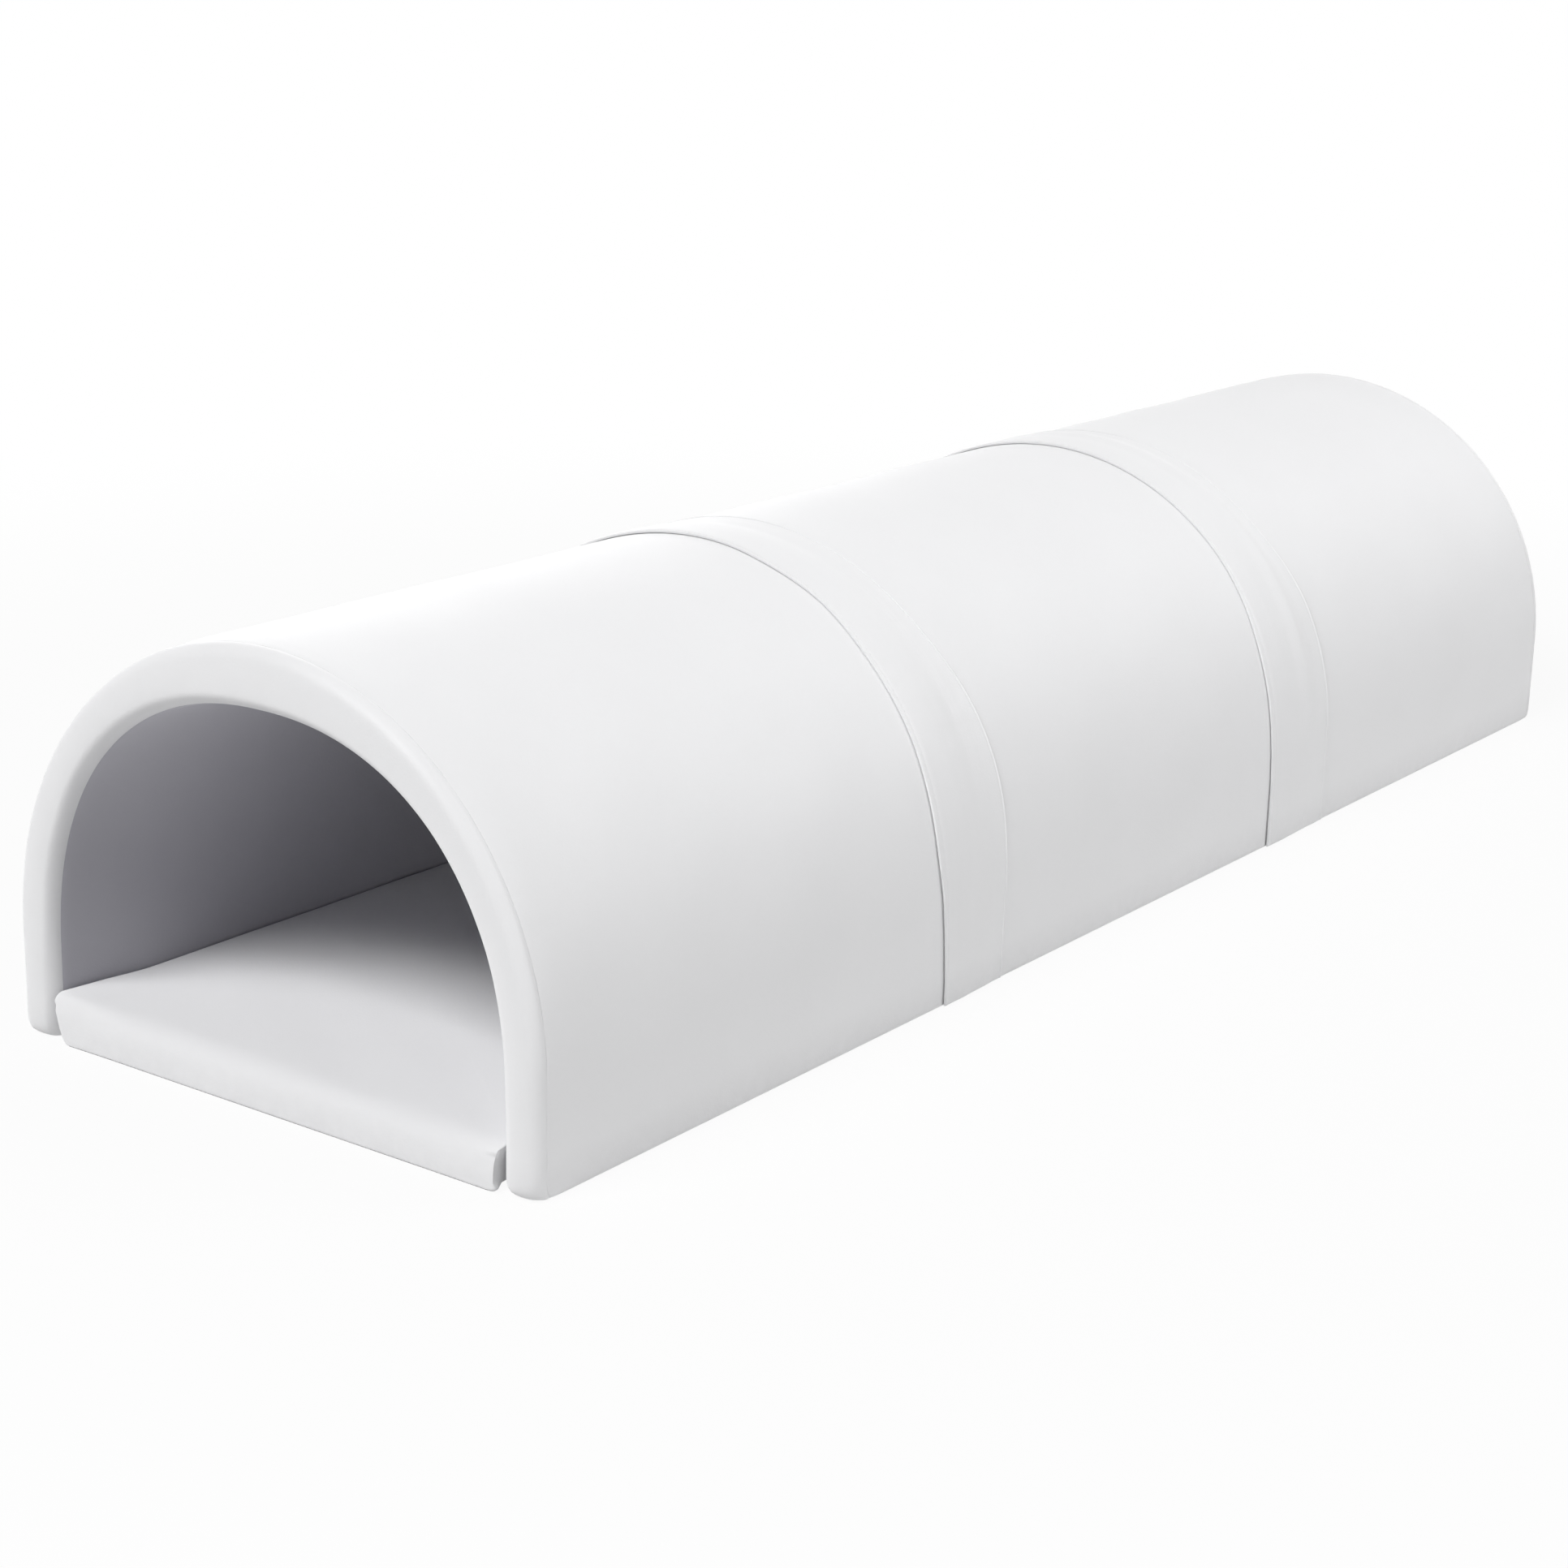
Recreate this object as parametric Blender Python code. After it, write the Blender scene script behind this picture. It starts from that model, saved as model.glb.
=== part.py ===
"""Foam play tunnel: three padded arches joined end to end, each standing over its own loose floor mat.

Every size is in metres. X runs across the tunnel, Y along it from the near mouth (-Y) to the
far mouth (+Y), and Z is up from the floor at Z = 0. Each arch and each mat is drawn about its own
middle and is placed by the empty that carries it.
"""

import math

import bmesh
import bpy
from mathutils import Vector

# Overall sizes of the tunnel
MODULE_NAMES = ("front", "middle", "rear")
MODULE_LENGTH = 0.800
WIDTH = 0.750
HEIGHT = 0.500

# Wall of an arch: thin at the legs and thicker at the crown, its inner face curving from lower down.
# A roundness of 2 is an ellipse, and more is squarer at the shoulders.
LEG_THICKNESS = 0.051
CROWN_THICKNESS = 0.071
INNER_LEG_DROP = 0.025
OUTER_ROUNDNESS = 2.0
INNER_ROUNDNESS = 2.24

# Soft end of an arch, where the foam's edges are rounded under the cover
RIM_RADIUS = 0.016
END_CROWN = 0.004
FOOT_DRAW = 0.006
FOOT_RISE = 0.020
FOOT_KNEE = FOOT_RISE / 3
KNEE_SHARE = 0.4

# Sheets of the cover
SKIN = 0.0010
SOLE = 0.0015
COVER_LIFT = 0.0005

# Joining flap and its hook and loop strips
FLAP_OVERLAP = 0.088
FLAP_ROOT = 0.064
FLAP_THICKNESS = 0.0016
FLAP_HEM = 0.006
FLAP_LIFT = 0.0020
STRIP_WIDTH = 0.050
STRIP_THICKNESS = 0.0010
STRIP_EDGE = 0.012

# Floor mat
MAT_THICKNESS = 0.048
MAT_CROWN = 0.005
MAT_SIDE_GAP = 0.008
MAT_CORNER = 0.022
MAT_EDGE_RADIUS = 0.014
MAT_BASE = 0.0010
MAT_BASE_INSET = 0.003
MAT_DRAW_IN = 0.002
MAT_BELLY_SHARE = 0.45
MAT_CROWN_SHARES = (0.2, 0.45, 0.7)

# Zips, all of one kind
ZIP_END_MARGIN = 0.050
ZIP_TAPE_WIDTH = 0.026
ZIP_TAPE_THICKNESS = 0.0010
ZIP_COIL_WIDTH = 0.005
ZIP_COIL_HEIGHT = 0.0016
ZIP_HEIGHT = 0.026
SLIDER_LENGTH = 0.014
SLIDER_WIDTH = 0.010
SLIDER_TOP = 0.0012
SLIDER_NOSE_SHARE = 0.15
SLIDER_NOSE_WIDTH_SHARE = 0.8
PULL_LENGTH = 0.026
PULL_WIDTH = 0.007
PULL_HOLE = 0.0018
PULL_SUNK = 0.0010
PULL_PROUD = 0.0005

# Clearances
GAP = 0.0003
JOINT_GAP = 0.0010

# Smoothness of the round forms
ARC_STEPS = 28
ROUND_STEPS = 2
CORNER_STEPS = 3
EDGE_POINTS = 3
TAB_STEPS = 6
HOLE_STEPS = 10
SHARP_ANGLE = math.radians(40)

# Sizes that follow from the ones above
OUTER_HALF_WIDTH = WIDTH / 2
OUTER_LEG = HEIGHT - OUTER_HALF_WIDTH
OUTER_RISE = HEIGHT - OUTER_LEG
INNER_HALF_WIDTH = OUTER_HALF_WIDTH - LEG_THICKNESS
INNER_LEG = OUTER_LEG - INNER_LEG_DROP
INNER_RISE = HEIGHT - CROWN_THICKNESS - INNER_LEG
OUTLINES = {
    "outer": (OUTER_HALF_WIDTH, OUTER_LEG, OUTER_RISE, OUTER_ROUNDNESS, -1),
    "inner": (INNER_HALF_WIDTH, INNER_LEG, INNER_RISE, INNER_ROUNDNESS, 1),
}
SEAM = END_CROWN + RIM_RADIUS
FLAP_SLOPE = SEAM
FOAM_DEPTH = SKIN + GAP
NEAR = -MODULE_LENGTH / 2 + JOINT_GAP / 2
FAR = MODULE_LENGTH / 2 - JOINT_GAP / 2
MAT_HALF_WIDTH = INNER_HALF_WIDTH - MAT_SIDE_GAP
MAT_HALF_LENGTH = MODULE_LENGTH / 2 - JOINT_GAP / 2
ZIP_HALF_LENGTH = MODULE_LENGTH / 2 - ZIP_END_MARGIN


def clear_scene():
    """Removes whatever the file opened with, so that the model stands alone."""
    for item in list(bpy.data.objects):
        bpy.data.objects.remove(item)


def make_material(name, colour, roughness, metallic=0.0):
    """A plain surface with the piece's colour, roughness and metallic value."""
    material = bpy.data.materials.new(name)
    material.use_nodes = True
    shader = material.node_tree.nodes["Principled BSDF"]
    shader.inputs["Base Color"].default_value = (*colour, 1.0)
    shader.inputs["Roughness"].default_value = roughness
    shader.inputs["Metallic"].default_value = metallic
    return material


def make_empty(name, y):
    """The carrier of one arch or mat, at the middle of its length on the floor."""
    empty = bpy.data.objects.new(name, None)
    empty.location = (0.0, y, 0.0)
    bpy.context.scene.collection.objects.link(empty)
    return empty


def place(name, mesh, parent, material, location=(0.0, 0.0, 0.0)):
    """Shows a mesh as one named piece on its carrier."""
    piece = bpy.data.objects.new(name, mesh)
    piece.parent = parent
    piece.location = location
    piece.data.materials.clear()
    piece.data.materials.append(material)
    bpy.context.scene.collection.objects.link(piece)
    return piece


def low_corner_key(vertex):
    """Orders corners by height, then along the tunnel, then across it."""
    return round(vertex.co.z, 5), round(vertex.co.y, 5), round(vertex.co.x, 5)


def add_quad(form, corners):
    """Two triangles that share the diagonal from the lowest corner, so that nested sheets fold alike."""
    first = min(range(4), key=lambda index: low_corner_key(corners[index]))
    a, b, c, d = corners[first:] + corners[:first]
    form.faces.new((a, b, c))
    form.faces.new((a, c, d))


def loft(name, rings):
    """A closed mesh through a row of rings with equal numbers of points, capped at both ends."""
    form = bmesh.new()
    rows = [[form.verts.new(point) for point in ring] for ring in rings]
    for lower, upper in zip(rows, rows[1:]):
        for index in range(len(lower)):
            following = (index + 1) % len(lower)
            add_quad(form, [lower[index], lower[following], upper[following], upper[index]])
    form.faces.new(rows[0])
    form.faces.new(rows[-1])
    bmesh.ops.recalc_face_normals(form, faces=form.faces)
    mesh = bpy.data.meshes.new(name)
    form.to_mesh(mesh)
    form.free()
    mesh.shade_smooth()
    mesh.set_sharp_from_angle(angle=SHARP_ANGLE)
    return mesh


# The arch's outline: a round top on straight legs, once for the outer face and once for the inner


def arch_stations(foot):
    """Places round the arch, from the right foot over the crown to the left foot.

    Each is a height up a leg, or None on the round top, and the angle it is seen at from the top's centre.
    """
    heights = [foot] + [z for z in (FOOT_KNEE, FOOT_RISE) if z < INNER_LEG]
    right_leg = [(z, 0.0) for z in heights]
    top = [(None, math.pi * step / ARC_STEPS) for step in range(ARC_STEPS + 1)]
    left_leg = [(z, math.pi) for z in reversed(heights)]
    return right_leg + top + left_leg


def outline_point(outline, depth, station):
    """A point of a sheet that lies at some depth inside the wall, measured square to the named face."""
    half_width, leg, rise, roundness, into_wall = OUTLINES[outline]
    height, angle = station
    across, up = math.cos(angle), math.sin(angle)
    if height is not None:
        return across * (half_width + into_wall * depth), height
    reach = ((abs(across) / half_width) ** roundness + (up / rise) ** roundness) ** (-1 / roundness)
    x, z = reach * across, reach * up
    slope_x = math.copysign((abs(x) / half_width) ** (roundness - 1) / half_width, across)
    slope_z = (z / rise) ** (roundness - 1) / rise
    step = into_wall * depth / math.hypot(slope_x, slope_z)
    return x + slope_x * step, leg + z + slope_z * step


def wall_point(outline, depth, station):
    """As outline_point, and also the middle of the wall."""
    if outline != "middle":
        return outline_point(outline, depth, station)
    outer = outline_point("outer", 0.0, station)
    inner = outline_point("inner", 0.0, station)
    return (outer[0] + inner[0]) / 2, (outer[1] + inner[1]) / 2


def foot_draw(z):
    """How far the end of a foot is drawn back at a height above the floor."""
    if z < FOOT_KNEE:
        return FOOT_DRAW * (1.0 - (1.0 - KNEE_SHARE) * z / FOOT_KNEE)
    return FOOT_DRAW * KNEE_SHARE * max(0.0, (FOOT_RISE - z) / (FOOT_RISE - FOOT_KNEE))


def drawn_along(y, z):
    """A distance along the arch, moved inwards where a foot's soft corner is rounded."""
    from_near = max(0.0, 1.0 - (y - NEAR) / SEAM)
    from_far = max(0.0, 1.0 - (FAR - y) / SEAM)
    return y + foot_draw(z) * (from_near - from_far)


def arch_ring(profile, station):
    """The profile laid across the wall at one station, bent to the foot's rounding."""
    ring = []
    for outline, depth, y in profile:
        x, z = wall_point(outline, depth, station)
        inside = outline == "middle" or depth >= 0.0
        ring.append(Vector((x, drawn_along(y, z) if inside else y, z)))
    return ring


def sweep(name, profile, stations):
    """A solid whose profile follows the arch."""
    return loft(name, [arch_ring(profile, station) for station in stations])


def band(outline, shallow, deep, start, end):
    """Profile of a flat sheet between two depths and two places along the arch."""
    return [
        (outline, shallow, start),
        (outline, shallow, end),
        (outline, deep, end),
        (outline, deep, start),
    ]


def end_curve(depth, far):
    """The rounded end of the wall at some depth below its cover, from the outer seam to the inner one."""
    radius = RIM_RADIUS - depth
    corner = []
    for step in range(ROUND_STEPS + 1):
        angle = math.pi / 2 * step / ROUND_STEPS
        corner.append((RIM_RADIUS - radius * math.cos(angle), SEAM - radius * math.sin(angle)))
    curve = [("outer", inset, along) for inset, along in corner]
    curve.append(("middle", 0.0, depth))
    curve += [("inner", inset, along) for inset, along in reversed(corner)]
    return [(outline, inset, FAR - y if far else NEAR + y) for outline, inset, y in curve]


def foam_profile():
    """The whole section of the foam along the arch, rounded at both ends."""
    return end_curve(FOAM_DEPTH, far=False) + list(reversed(end_curve(FOAM_DEPTH, far=True)))


# Pieces of an arch


def make_foam_core(name, parent):
    """The shaped block of foam that stands by itself and carries the cover."""
    mesh = sweep(name, foam_profile(), arch_stations(SOLE + GAP))
    place(name, mesh, parent, FOAM)


def make_sole(name, parent, angle):
    """The hard-wearing sheet under one leg, cut to the foam's foot."""
    mesh = sweep(name, foam_profile(), [(0.0, angle), (SOLE, angle)])
    place(name, mesh, parent, SOLE_CLOTH)


def make_outer_skin(name, parent):
    """The smooth sheet over the back of the arch, from foot to foot."""
    profile = band("outer", 0.0, SKIN, NEAR + SEAM + GAP, FAR - SEAM - GAP)
    place(name, sweep(name, profile, arch_stations(COVER_LIFT)), parent, LEATHERETTE)


def make_lining(name, parent):
    """The sheet on the inside of the arch."""
    profile = band("inner", 0.0, SKIN, NEAR + SEAM + GAP, FAR - SEAM - GAP)
    place(name, sweep(name, profile, arch_stations(COVER_LIFT)), parent, LINING)


def make_end_panel(name, parent, far):
    """The arch-shaped panel that wraps round one end of the foam, between the outer and inner seams."""
    profile = end_curve(0.0, far) + list(reversed(end_curve(SKIN, far)))
    place(name, sweep(name, profile, arch_stations(COVER_LIFT)), parent, LEATHERETTE)


def make_loop_strip(name, parent):
    """The loop strip sewn on the far end of the outer skin, for the next arch's flap."""
    end = MODULE_LENGTH / 2 - FLAP_OVERLAP + STRIP_EDGE + STRIP_WIDTH
    profile = band("outer", -GAP - STRIP_THICKNESS, -GAP, end - STRIP_WIDTH, end)
    place(name, sweep(name, profile, arch_stations(2 * FLAP_LIFT)), parent, STRIP_CLOTH)


def make_hook_strip(name, parent):
    """The hook strip sewn under the flap, right over the loop strip of the arch in front."""
    start = -MODULE_LENGTH / 2 - FLAP_OVERLAP + STRIP_EDGE
    below = 2 * GAP + STRIP_THICKNESS
    profile = band("outer", -below - STRIP_THICKNESS, -below, start, start + STRIP_WIDTH)
    place(name, sweep(name, profile, arch_stations(2 * FLAP_LIFT)), parent, STRIP_CLOTH)


def make_flap(name, parent):
    """The band over the joint: sewn to its own arch, and free over the end of the arch in front."""
    joint = -MODULE_LENGTH / 2
    high = 3 * GAP + 2 * STRIP_THICKNESS
    underside = [
        (-FLAP_OVERLAP, high),
        (0.0, high),
        (FLAP_SLOPE, GAP),
        (FLAP_ROOT, GAP),
    ]
    top = [
        (FLAP_ROOT, GAP + SKIN / 2),
        (FLAP_ROOT - FLAP_HEM, GAP + FLAP_THICKNESS),
        (FLAP_SLOPE, GAP + FLAP_THICKNESS),
        (0.0, high + FLAP_THICKNESS),
        (-FLAP_OVERLAP, high + FLAP_THICKNESS),
    ]
    profile = [("outer", -height, joint + along) for along, height in underside + top]
    place(name, sweep(name, profile, arch_stations(FLAP_LIFT)), parent, LEATHERETTE)


# Pieces of a mat


def mat_ring(inset, z):
    """A rounded rectangle in plan, its sides pulled in a little between the corners."""
    half_width = MAT_HALF_WIDTH - inset
    half_length = MAT_HALF_LENGTH - inset
    corner = max(MAT_CORNER - inset, MAT_CORNER / 4)
    ring = []
    for quarter in range(4):
        turn = quarter * math.pi / 2
        side_x = 1 if quarter in (0, 3) else -1
        side_y = 1 if quarter in (0, 1) else -1
        centre = Vector((side_x * (half_width - corner), side_y * (half_length - corner), z))
        for step in range(CORNER_STEPS + 1):
            angle = turn + math.pi / 2 * step / CORNER_STEPS
            ring.append(centre + corner * Vector((math.cos(angle), math.sin(angle), 0.0)))
        ring += mat_edge(ring[-1], quarter, half_width, half_length, corner)
    return ring


def mat_edge(start, quarter, half_width, half_length, corner):
    """The points of one straight side, from the corner just drawn towards the next."""
    along = Vector(((-1, 0, 0), (0, -1, 0), (1, 0, 0), (0, 1, 0))[quarter])
    inwards = Vector(((0, -1, 0), (1, 0, 0), (0, 1, 0), (-1, 0, 0))[quarter])
    length = 2 * ((half_width if quarter in (0, 2) else half_length) - corner)
    points = []
    for number in range(1, EDGE_POINTS + 1):
        share = number / (EDGE_POINTS + 1)
        pull = MAT_DRAW_IN * 4 * share * (1 - share)
        points.append(start + along * length * share + inwards * pull)
    return points


def mat_rings(depth):
    """Rings from the bottom edge up over the crowned top, at some depth below the cover."""
    radius = MAT_EDGE_RADIUS - depth
    shoulder = MAT_THICKNESS - MAT_EDGE_RADIUS
    rings = [
        mat_ring(MAT_BASE_INSET + depth, MAT_BASE + GAP),
        mat_ring(depth, MAT_THICKNESS * MAT_BELLY_SHARE),
    ]
    for step in range(ROUND_STEPS + 1):
        angle = math.pi / 2 * step / ROUND_STEPS
        inset = MAT_EDGE_RADIUS - radius * math.cos(angle)
        rings.append(mat_ring(inset, shoulder + radius * math.sin(angle)))
    for share in MAT_CROWN_SHARES:
        inset = MAT_EDGE_RADIUS + (MAT_HALF_WIDTH - MAT_EDGE_RADIUS) * share
        rise = MAT_CROWN * (1 - (1 - share) ** 2)
        rings.append(mat_ring(inset, MAT_THICKNESS - depth + rise))
    return rings


def make_mat_foam(name, parent):
    """The foam slab of a mat, slightly crowned where its edges are squeezed by the cover."""
    place(name, loft(name, mat_rings(FOAM_DEPTH)), parent, FOAM)


def make_mat_cover(name, parent):
    """The sheet over a mat's top and sides, open underneath."""
    rings = list(reversed(mat_rings(SKIN))) + mat_rings(0.0)
    place(name, loft(name, rings), parent, LEATHERETTE)


def make_mat_base(name, parent):
    """The flat underside panel that the mat lies on."""
    rings = [mat_ring(MAT_BASE_INSET, 0.0), mat_ring(MAT_BASE_INSET, MAT_BASE)]
    place(name, loft(name, rings), parent, SOLE_CLOTH)


# Zips, drawn with the tape's back at X = 0 and the coil towards -X


def make_zip(name, parent, x):
    """Both tapes and the closed coil, as one strip along the arch or mat."""
    half_tape = ZIP_TAPE_WIDTH / 2
    half_coil = ZIP_COIL_WIDTH / 2
    coil_top = ZIP_TAPE_THICKNESS + ZIP_COIL_HEIGHT
    section = [
        (0.0, -half_tape),
        (ZIP_TAPE_THICKNESS, -half_tape),
        (ZIP_TAPE_THICKNESS, -half_coil),
        (coil_top, -half_coil / 2),
        (coil_top, half_coil / 2),
        (ZIP_TAPE_THICKNESS, half_coil),
        (ZIP_TAPE_THICKNESS, half_tape),
        (0.0, half_tape),
    ]
    rings = [[Vector((-out, y, up)) for out, up in section] for y in (-ZIP_HALF_LENGTH, ZIP_HALF_LENGTH)]
    place(name, loft(name, rings), parent, ZIP_NYLON, (x, 0.0, ZIP_HEIGHT))


def slider_body_rings():
    """A slider body that straddles the coil, narrower at its nose and tail."""
    floor = ZIP_TAPE_THICKNESS + GAP
    roof = ZIP_TAPE_THICKNESS + ZIP_COIL_HEIGHT + GAP
    channel = ZIP_COIL_WIDTH / 2 + GAP
    stations = [
        (0.0, SLIDER_NOSE_WIDTH_SHARE),
        (SLIDER_NOSE_SHARE, 1.0),
        (1.0 - SLIDER_NOSE_SHARE, 1.0),
        (1.0, SLIDER_NOSE_WIDTH_SHARE),
    ]
    rings = []
    for y, share in stations:
        half = SLIDER_WIDTH / 2 * share
        section = [
            (floor, -half),
            (roof + SLIDER_TOP, -half),
            (roof + SLIDER_TOP, half),
            (floor, half),
            (floor, channel),
            (roof, channel),
            (roof, -channel),
            (floor, -channel),
        ]
        rings.append([Vector((-out, y * SLIDER_LENGTH, up)) for out, up in section])
    return rings


def pull_tab_rings():
    """The flat pull tab with a round end, lying back along the coil from the slider's middle."""
    top = ZIP_TAPE_THICKNESS + ZIP_COIL_HEIGHT + GAP + SLIDER_TOP
    half = PULL_WIDTH / 2
    root = SLIDER_LENGTH / 2
    tip = SLIDER_LENGTH + PULL_LENGTH - half
    outline = [(root, -half), (root, half)]
    for step in range(TAB_STEPS + 1):
        angle = math.pi / 2 - math.pi * step / TAB_STEPS
        outline.append((tip + half * math.cos(angle), half * math.sin(angle)))
    return [[Vector((-out, y, up)) for y, up in outline] for out in (top - PULL_SUNK, top + PULL_PROUD)]


def make_slider_mesh():
    """One zip slider with its pull tab and the tab's hole, used for every zip."""
    body = place("slider_pattern", loft("slider_body", slider_body_rings()), None, ZINC)
    tab = place("pull_tab_tool", loft("pull_tab", pull_tab_rings()), None, ZINC)
    hole_y = SLIDER_LENGTH + PULL_LENGTH - PULL_WIDTH / 2
    hole_form = bmesh.new()
    bmesh.ops.create_cone(
        hole_form, cap_ends=True, segments=HOLE_STEPS, radius1=PULL_HOLE, radius2=PULL_HOLE, depth=PULL_WIDTH
    )
    hole_mesh = bpy.data.meshes.new("pull_hole")
    hole_form.to_mesh(hole_mesh)
    hole_form.free()
    hole = place("pull_hole_tool", hole_mesh, None, ZINC, (-ZIP_TAPE_THICKNESS, hole_y, 0.0))
    hole.rotation_euler = (0.0, math.pi / 2, 0.0)
    for tool, operation in ((tab, "UNION"), (hole, "DIFFERENCE")):
        cut = body.modifiers.new(operation.lower(), "BOOLEAN")
        cut.operation = operation
        cut.object = tool
        tool.hide_render = True
        tool.display_type = "WIRE"
    bpy.context.view_layer.update()
    shaped = body.evaluated_get(bpy.context.evaluated_depsgraph_get())
    mesh = bpy.data.meshes.new_from_object(shaped)
    for pattern in (body, tab, hole):
        bpy.data.objects.remove(pattern)
    return mesh


def make_slider(name, parent, x, mesh):
    """A slider at the near end of its zip, on a carrier that travels along the coil."""
    carrier = bpy.data.objects.new(name + "_carrier", None)
    carrier.parent = parent
    carrier.location = (x, -ZIP_HALF_LENGTH + SLIDER_LENGTH / 2, ZIP_HEIGHT)
    bpy.context.scene.collection.objects.link(carrier)
    place(name, mesh, carrier, ZINC)


def inner_half_width(z):
    """Half the clear width between the linings at a height, measured to the lining's own flat facets."""
    points = [outline_point("inner", 0.0, station) for station in arch_stations(COVER_LIFT)]
    for (low_x, low_z), (high_x, high_z) in zip(points, points[1:]):
        if low_z <= z <= high_z:
            return low_x + (high_x - low_x) * (z - low_z) / (high_z - low_z)
    return 0.0


# Assembly


def make_arch(module, y, slider_mesh):
    """One arch with its cover, joining parts and zip."""
    carrier = make_empty(f"{module}_arch", y)
    make_foam_core(f"{module}_arch_foam", carrier)
    make_outer_skin(f"{module}_outer_skin", carrier)
    make_lining(f"{module}_lining", carrier)
    make_end_panel(f"{module}_near_end_panel", carrier, far=False)
    make_end_panel(f"{module}_far_end_panel", carrier, far=True)
    make_sole(f"{module}_right_sole", carrier, 0.0)
    make_sole(f"{module}_left_sole", carrier, math.pi)
    if module != MODULE_NAMES[-1]:
        make_loop_strip(f"{module}_loop_strip", carrier)
    if module != MODULE_NAMES[0]:
        make_flap(f"{module}_flap", carrier)
        make_hook_strip(f"{module}_hook_strip", carrier)
    zip_x = inner_half_width(ZIP_HEIGHT + ZIP_TAPE_WIDTH / 2) - GAP
    make_zip(f"{module}_arch_zip", carrier, zip_x)
    make_slider(f"{module}_arch_zip_slider", carrier, zip_x, slider_mesh)


def make_mat(module, y, slider_mesh):
    """One floor mat with its cover, underside and zip."""
    carrier = make_empty(f"{module}_mat", y)
    make_mat_foam(f"{module}_mat_foam", carrier)
    make_mat_cover(f"{module}_mat_cover", carrier)
    make_mat_base(f"{module}_mat_base", carrier)
    zip_x = -MAT_HALF_WIDTH - GAP
    make_zip(f"{module}_mat_zip", carrier, zip_x)
    make_slider(f"{module}_mat_zip_slider", carrier, zip_x, slider_mesh)


clear_scene()
LEATHERETTE = make_material("white_leatherette", (0.86, 0.86, 0.87), 0.45)
LINING = make_material("inner_leatherette", (0.60, 0.60, 0.64), 0.5)
FOAM = make_material("polyether_foam", (0.82, 0.78, 0.62), 0.95)
SOLE_CLOTH = make_material("non_slip_cloth", (0.55, 0.55, 0.56), 0.9)
STRIP_CLOTH = make_material("hook_and_loop_tape", (0.80, 0.80, 0.80), 0.9)
ZIP_NYLON = make_material("nylon_zip", (0.80, 0.80, 0.80), 0.6)
ZINC = make_material("plated_zinc", (0.62, 0.62, 0.63), 0.3, 1.0)

slider_mesh = make_slider_mesh()
for number, module in enumerate(MODULE_NAMES):
    middle_y = (number - (len(MODULE_NAMES) - 1) / 2) * MODULE_LENGTH
    make_arch(module, middle_y, slider_mesh)
    make_mat(module, middle_y, slider_mesh)
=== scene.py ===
"""The look of a foam play tunnel: three padded arches joined by flaps, each over its own floor mat.

Every length is in metres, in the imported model's frame: X across the tunnel, Y along it from the
near mouth, Z up from the floor. An arch's or mat's own middle is at Y = 0 while it is drawn.
"""
import math
from functools import partial

import bpy
import numpy as np
from mathutils import Matrix, Vector


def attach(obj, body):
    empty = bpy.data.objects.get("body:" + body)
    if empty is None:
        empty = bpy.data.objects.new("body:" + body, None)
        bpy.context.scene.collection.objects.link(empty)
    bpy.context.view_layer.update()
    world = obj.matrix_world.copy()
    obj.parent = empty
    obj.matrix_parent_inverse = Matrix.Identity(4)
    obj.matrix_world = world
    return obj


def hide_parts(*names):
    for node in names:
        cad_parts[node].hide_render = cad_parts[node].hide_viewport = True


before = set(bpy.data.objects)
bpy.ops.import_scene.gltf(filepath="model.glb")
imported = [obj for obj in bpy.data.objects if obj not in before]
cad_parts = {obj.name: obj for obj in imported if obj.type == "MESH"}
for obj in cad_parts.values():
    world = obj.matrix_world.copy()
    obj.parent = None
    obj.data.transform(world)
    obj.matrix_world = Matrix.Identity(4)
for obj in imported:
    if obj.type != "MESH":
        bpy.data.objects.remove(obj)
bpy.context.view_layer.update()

# Sizes of the tunnel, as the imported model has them
MODULES = ("front", "middle", "rear")
MODULE_LENGTH = 0.800
WIDTH = 0.750
HEIGHT = 0.500
LEG_THICKNESS = 0.051
CROWN_THICKNESS = 0.071
INNER_LEG_DROP = 0.025
OUTER_ROUNDNESS = 2.0
INNER_ROUNDNESS = 2.24
SEAM = 0.020
SKIN = 0.0010
SOLE = 0.0015
COVER_LIFT = 0.0005
GAP = 0.0003
JOINT_GAP = 0.0010
STRIP_THICKNESS = 0.0010
STRIP_WIDTH = 0.050
STRIP_EDGE = 0.012
STRIP_STEPS = 21
FLAP_OVERLAP = 0.088
FLAP_ROOT = 0.064
FLAP_THICKNESS = 0.0016
FLAP_LIFT = 0.0020
MAT_THICKNESS = 0.048
MAT_CROWN = 0.005
MAT_SIDE_GAP = 0.008
MAT_BASE = 0.0010
ZIP_HALF_LENGTH = 0.350
ZIP_HEIGHT = 0.026

# Softness of the cover
# Across the wall and along the arch: the rim's outer corner, and its wide curl into the mouth
RIM_CORNERS = ((0.017, 0.017), (0.021, 0.030))
# The left leg's curl is narrower: this share of the others, across the wall and along the arch
LEFT_CURL = (0.62, 0.74)
LEFT_CURL_TURN = math.radians(95)
RIM_FACE_SLOPE = math.tan(math.radians(10))
RIM_UNEVENNESS = 0.0003
PINCH = 0.0007
PINCH_REACH = 0.0035
UNEVENNESS = 0.0004
UNEVEN_SPAN = (0.14, 0.34)
UNEVEN_EASE = 0.060
END_SAG = 0.0010
END_SAG_REACH = 0.027
FEET_EVEN = 0.055
FEET_EASE = 0.050
RIM_UNEVEN_SPAN = (0.07, 0.25)
RIM_STRETCH = 0.6
PUCKER = 0.00012
PUCKER_SPAN = (0.018, 0.040)
PUCKER_REACH = 0.022
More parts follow.
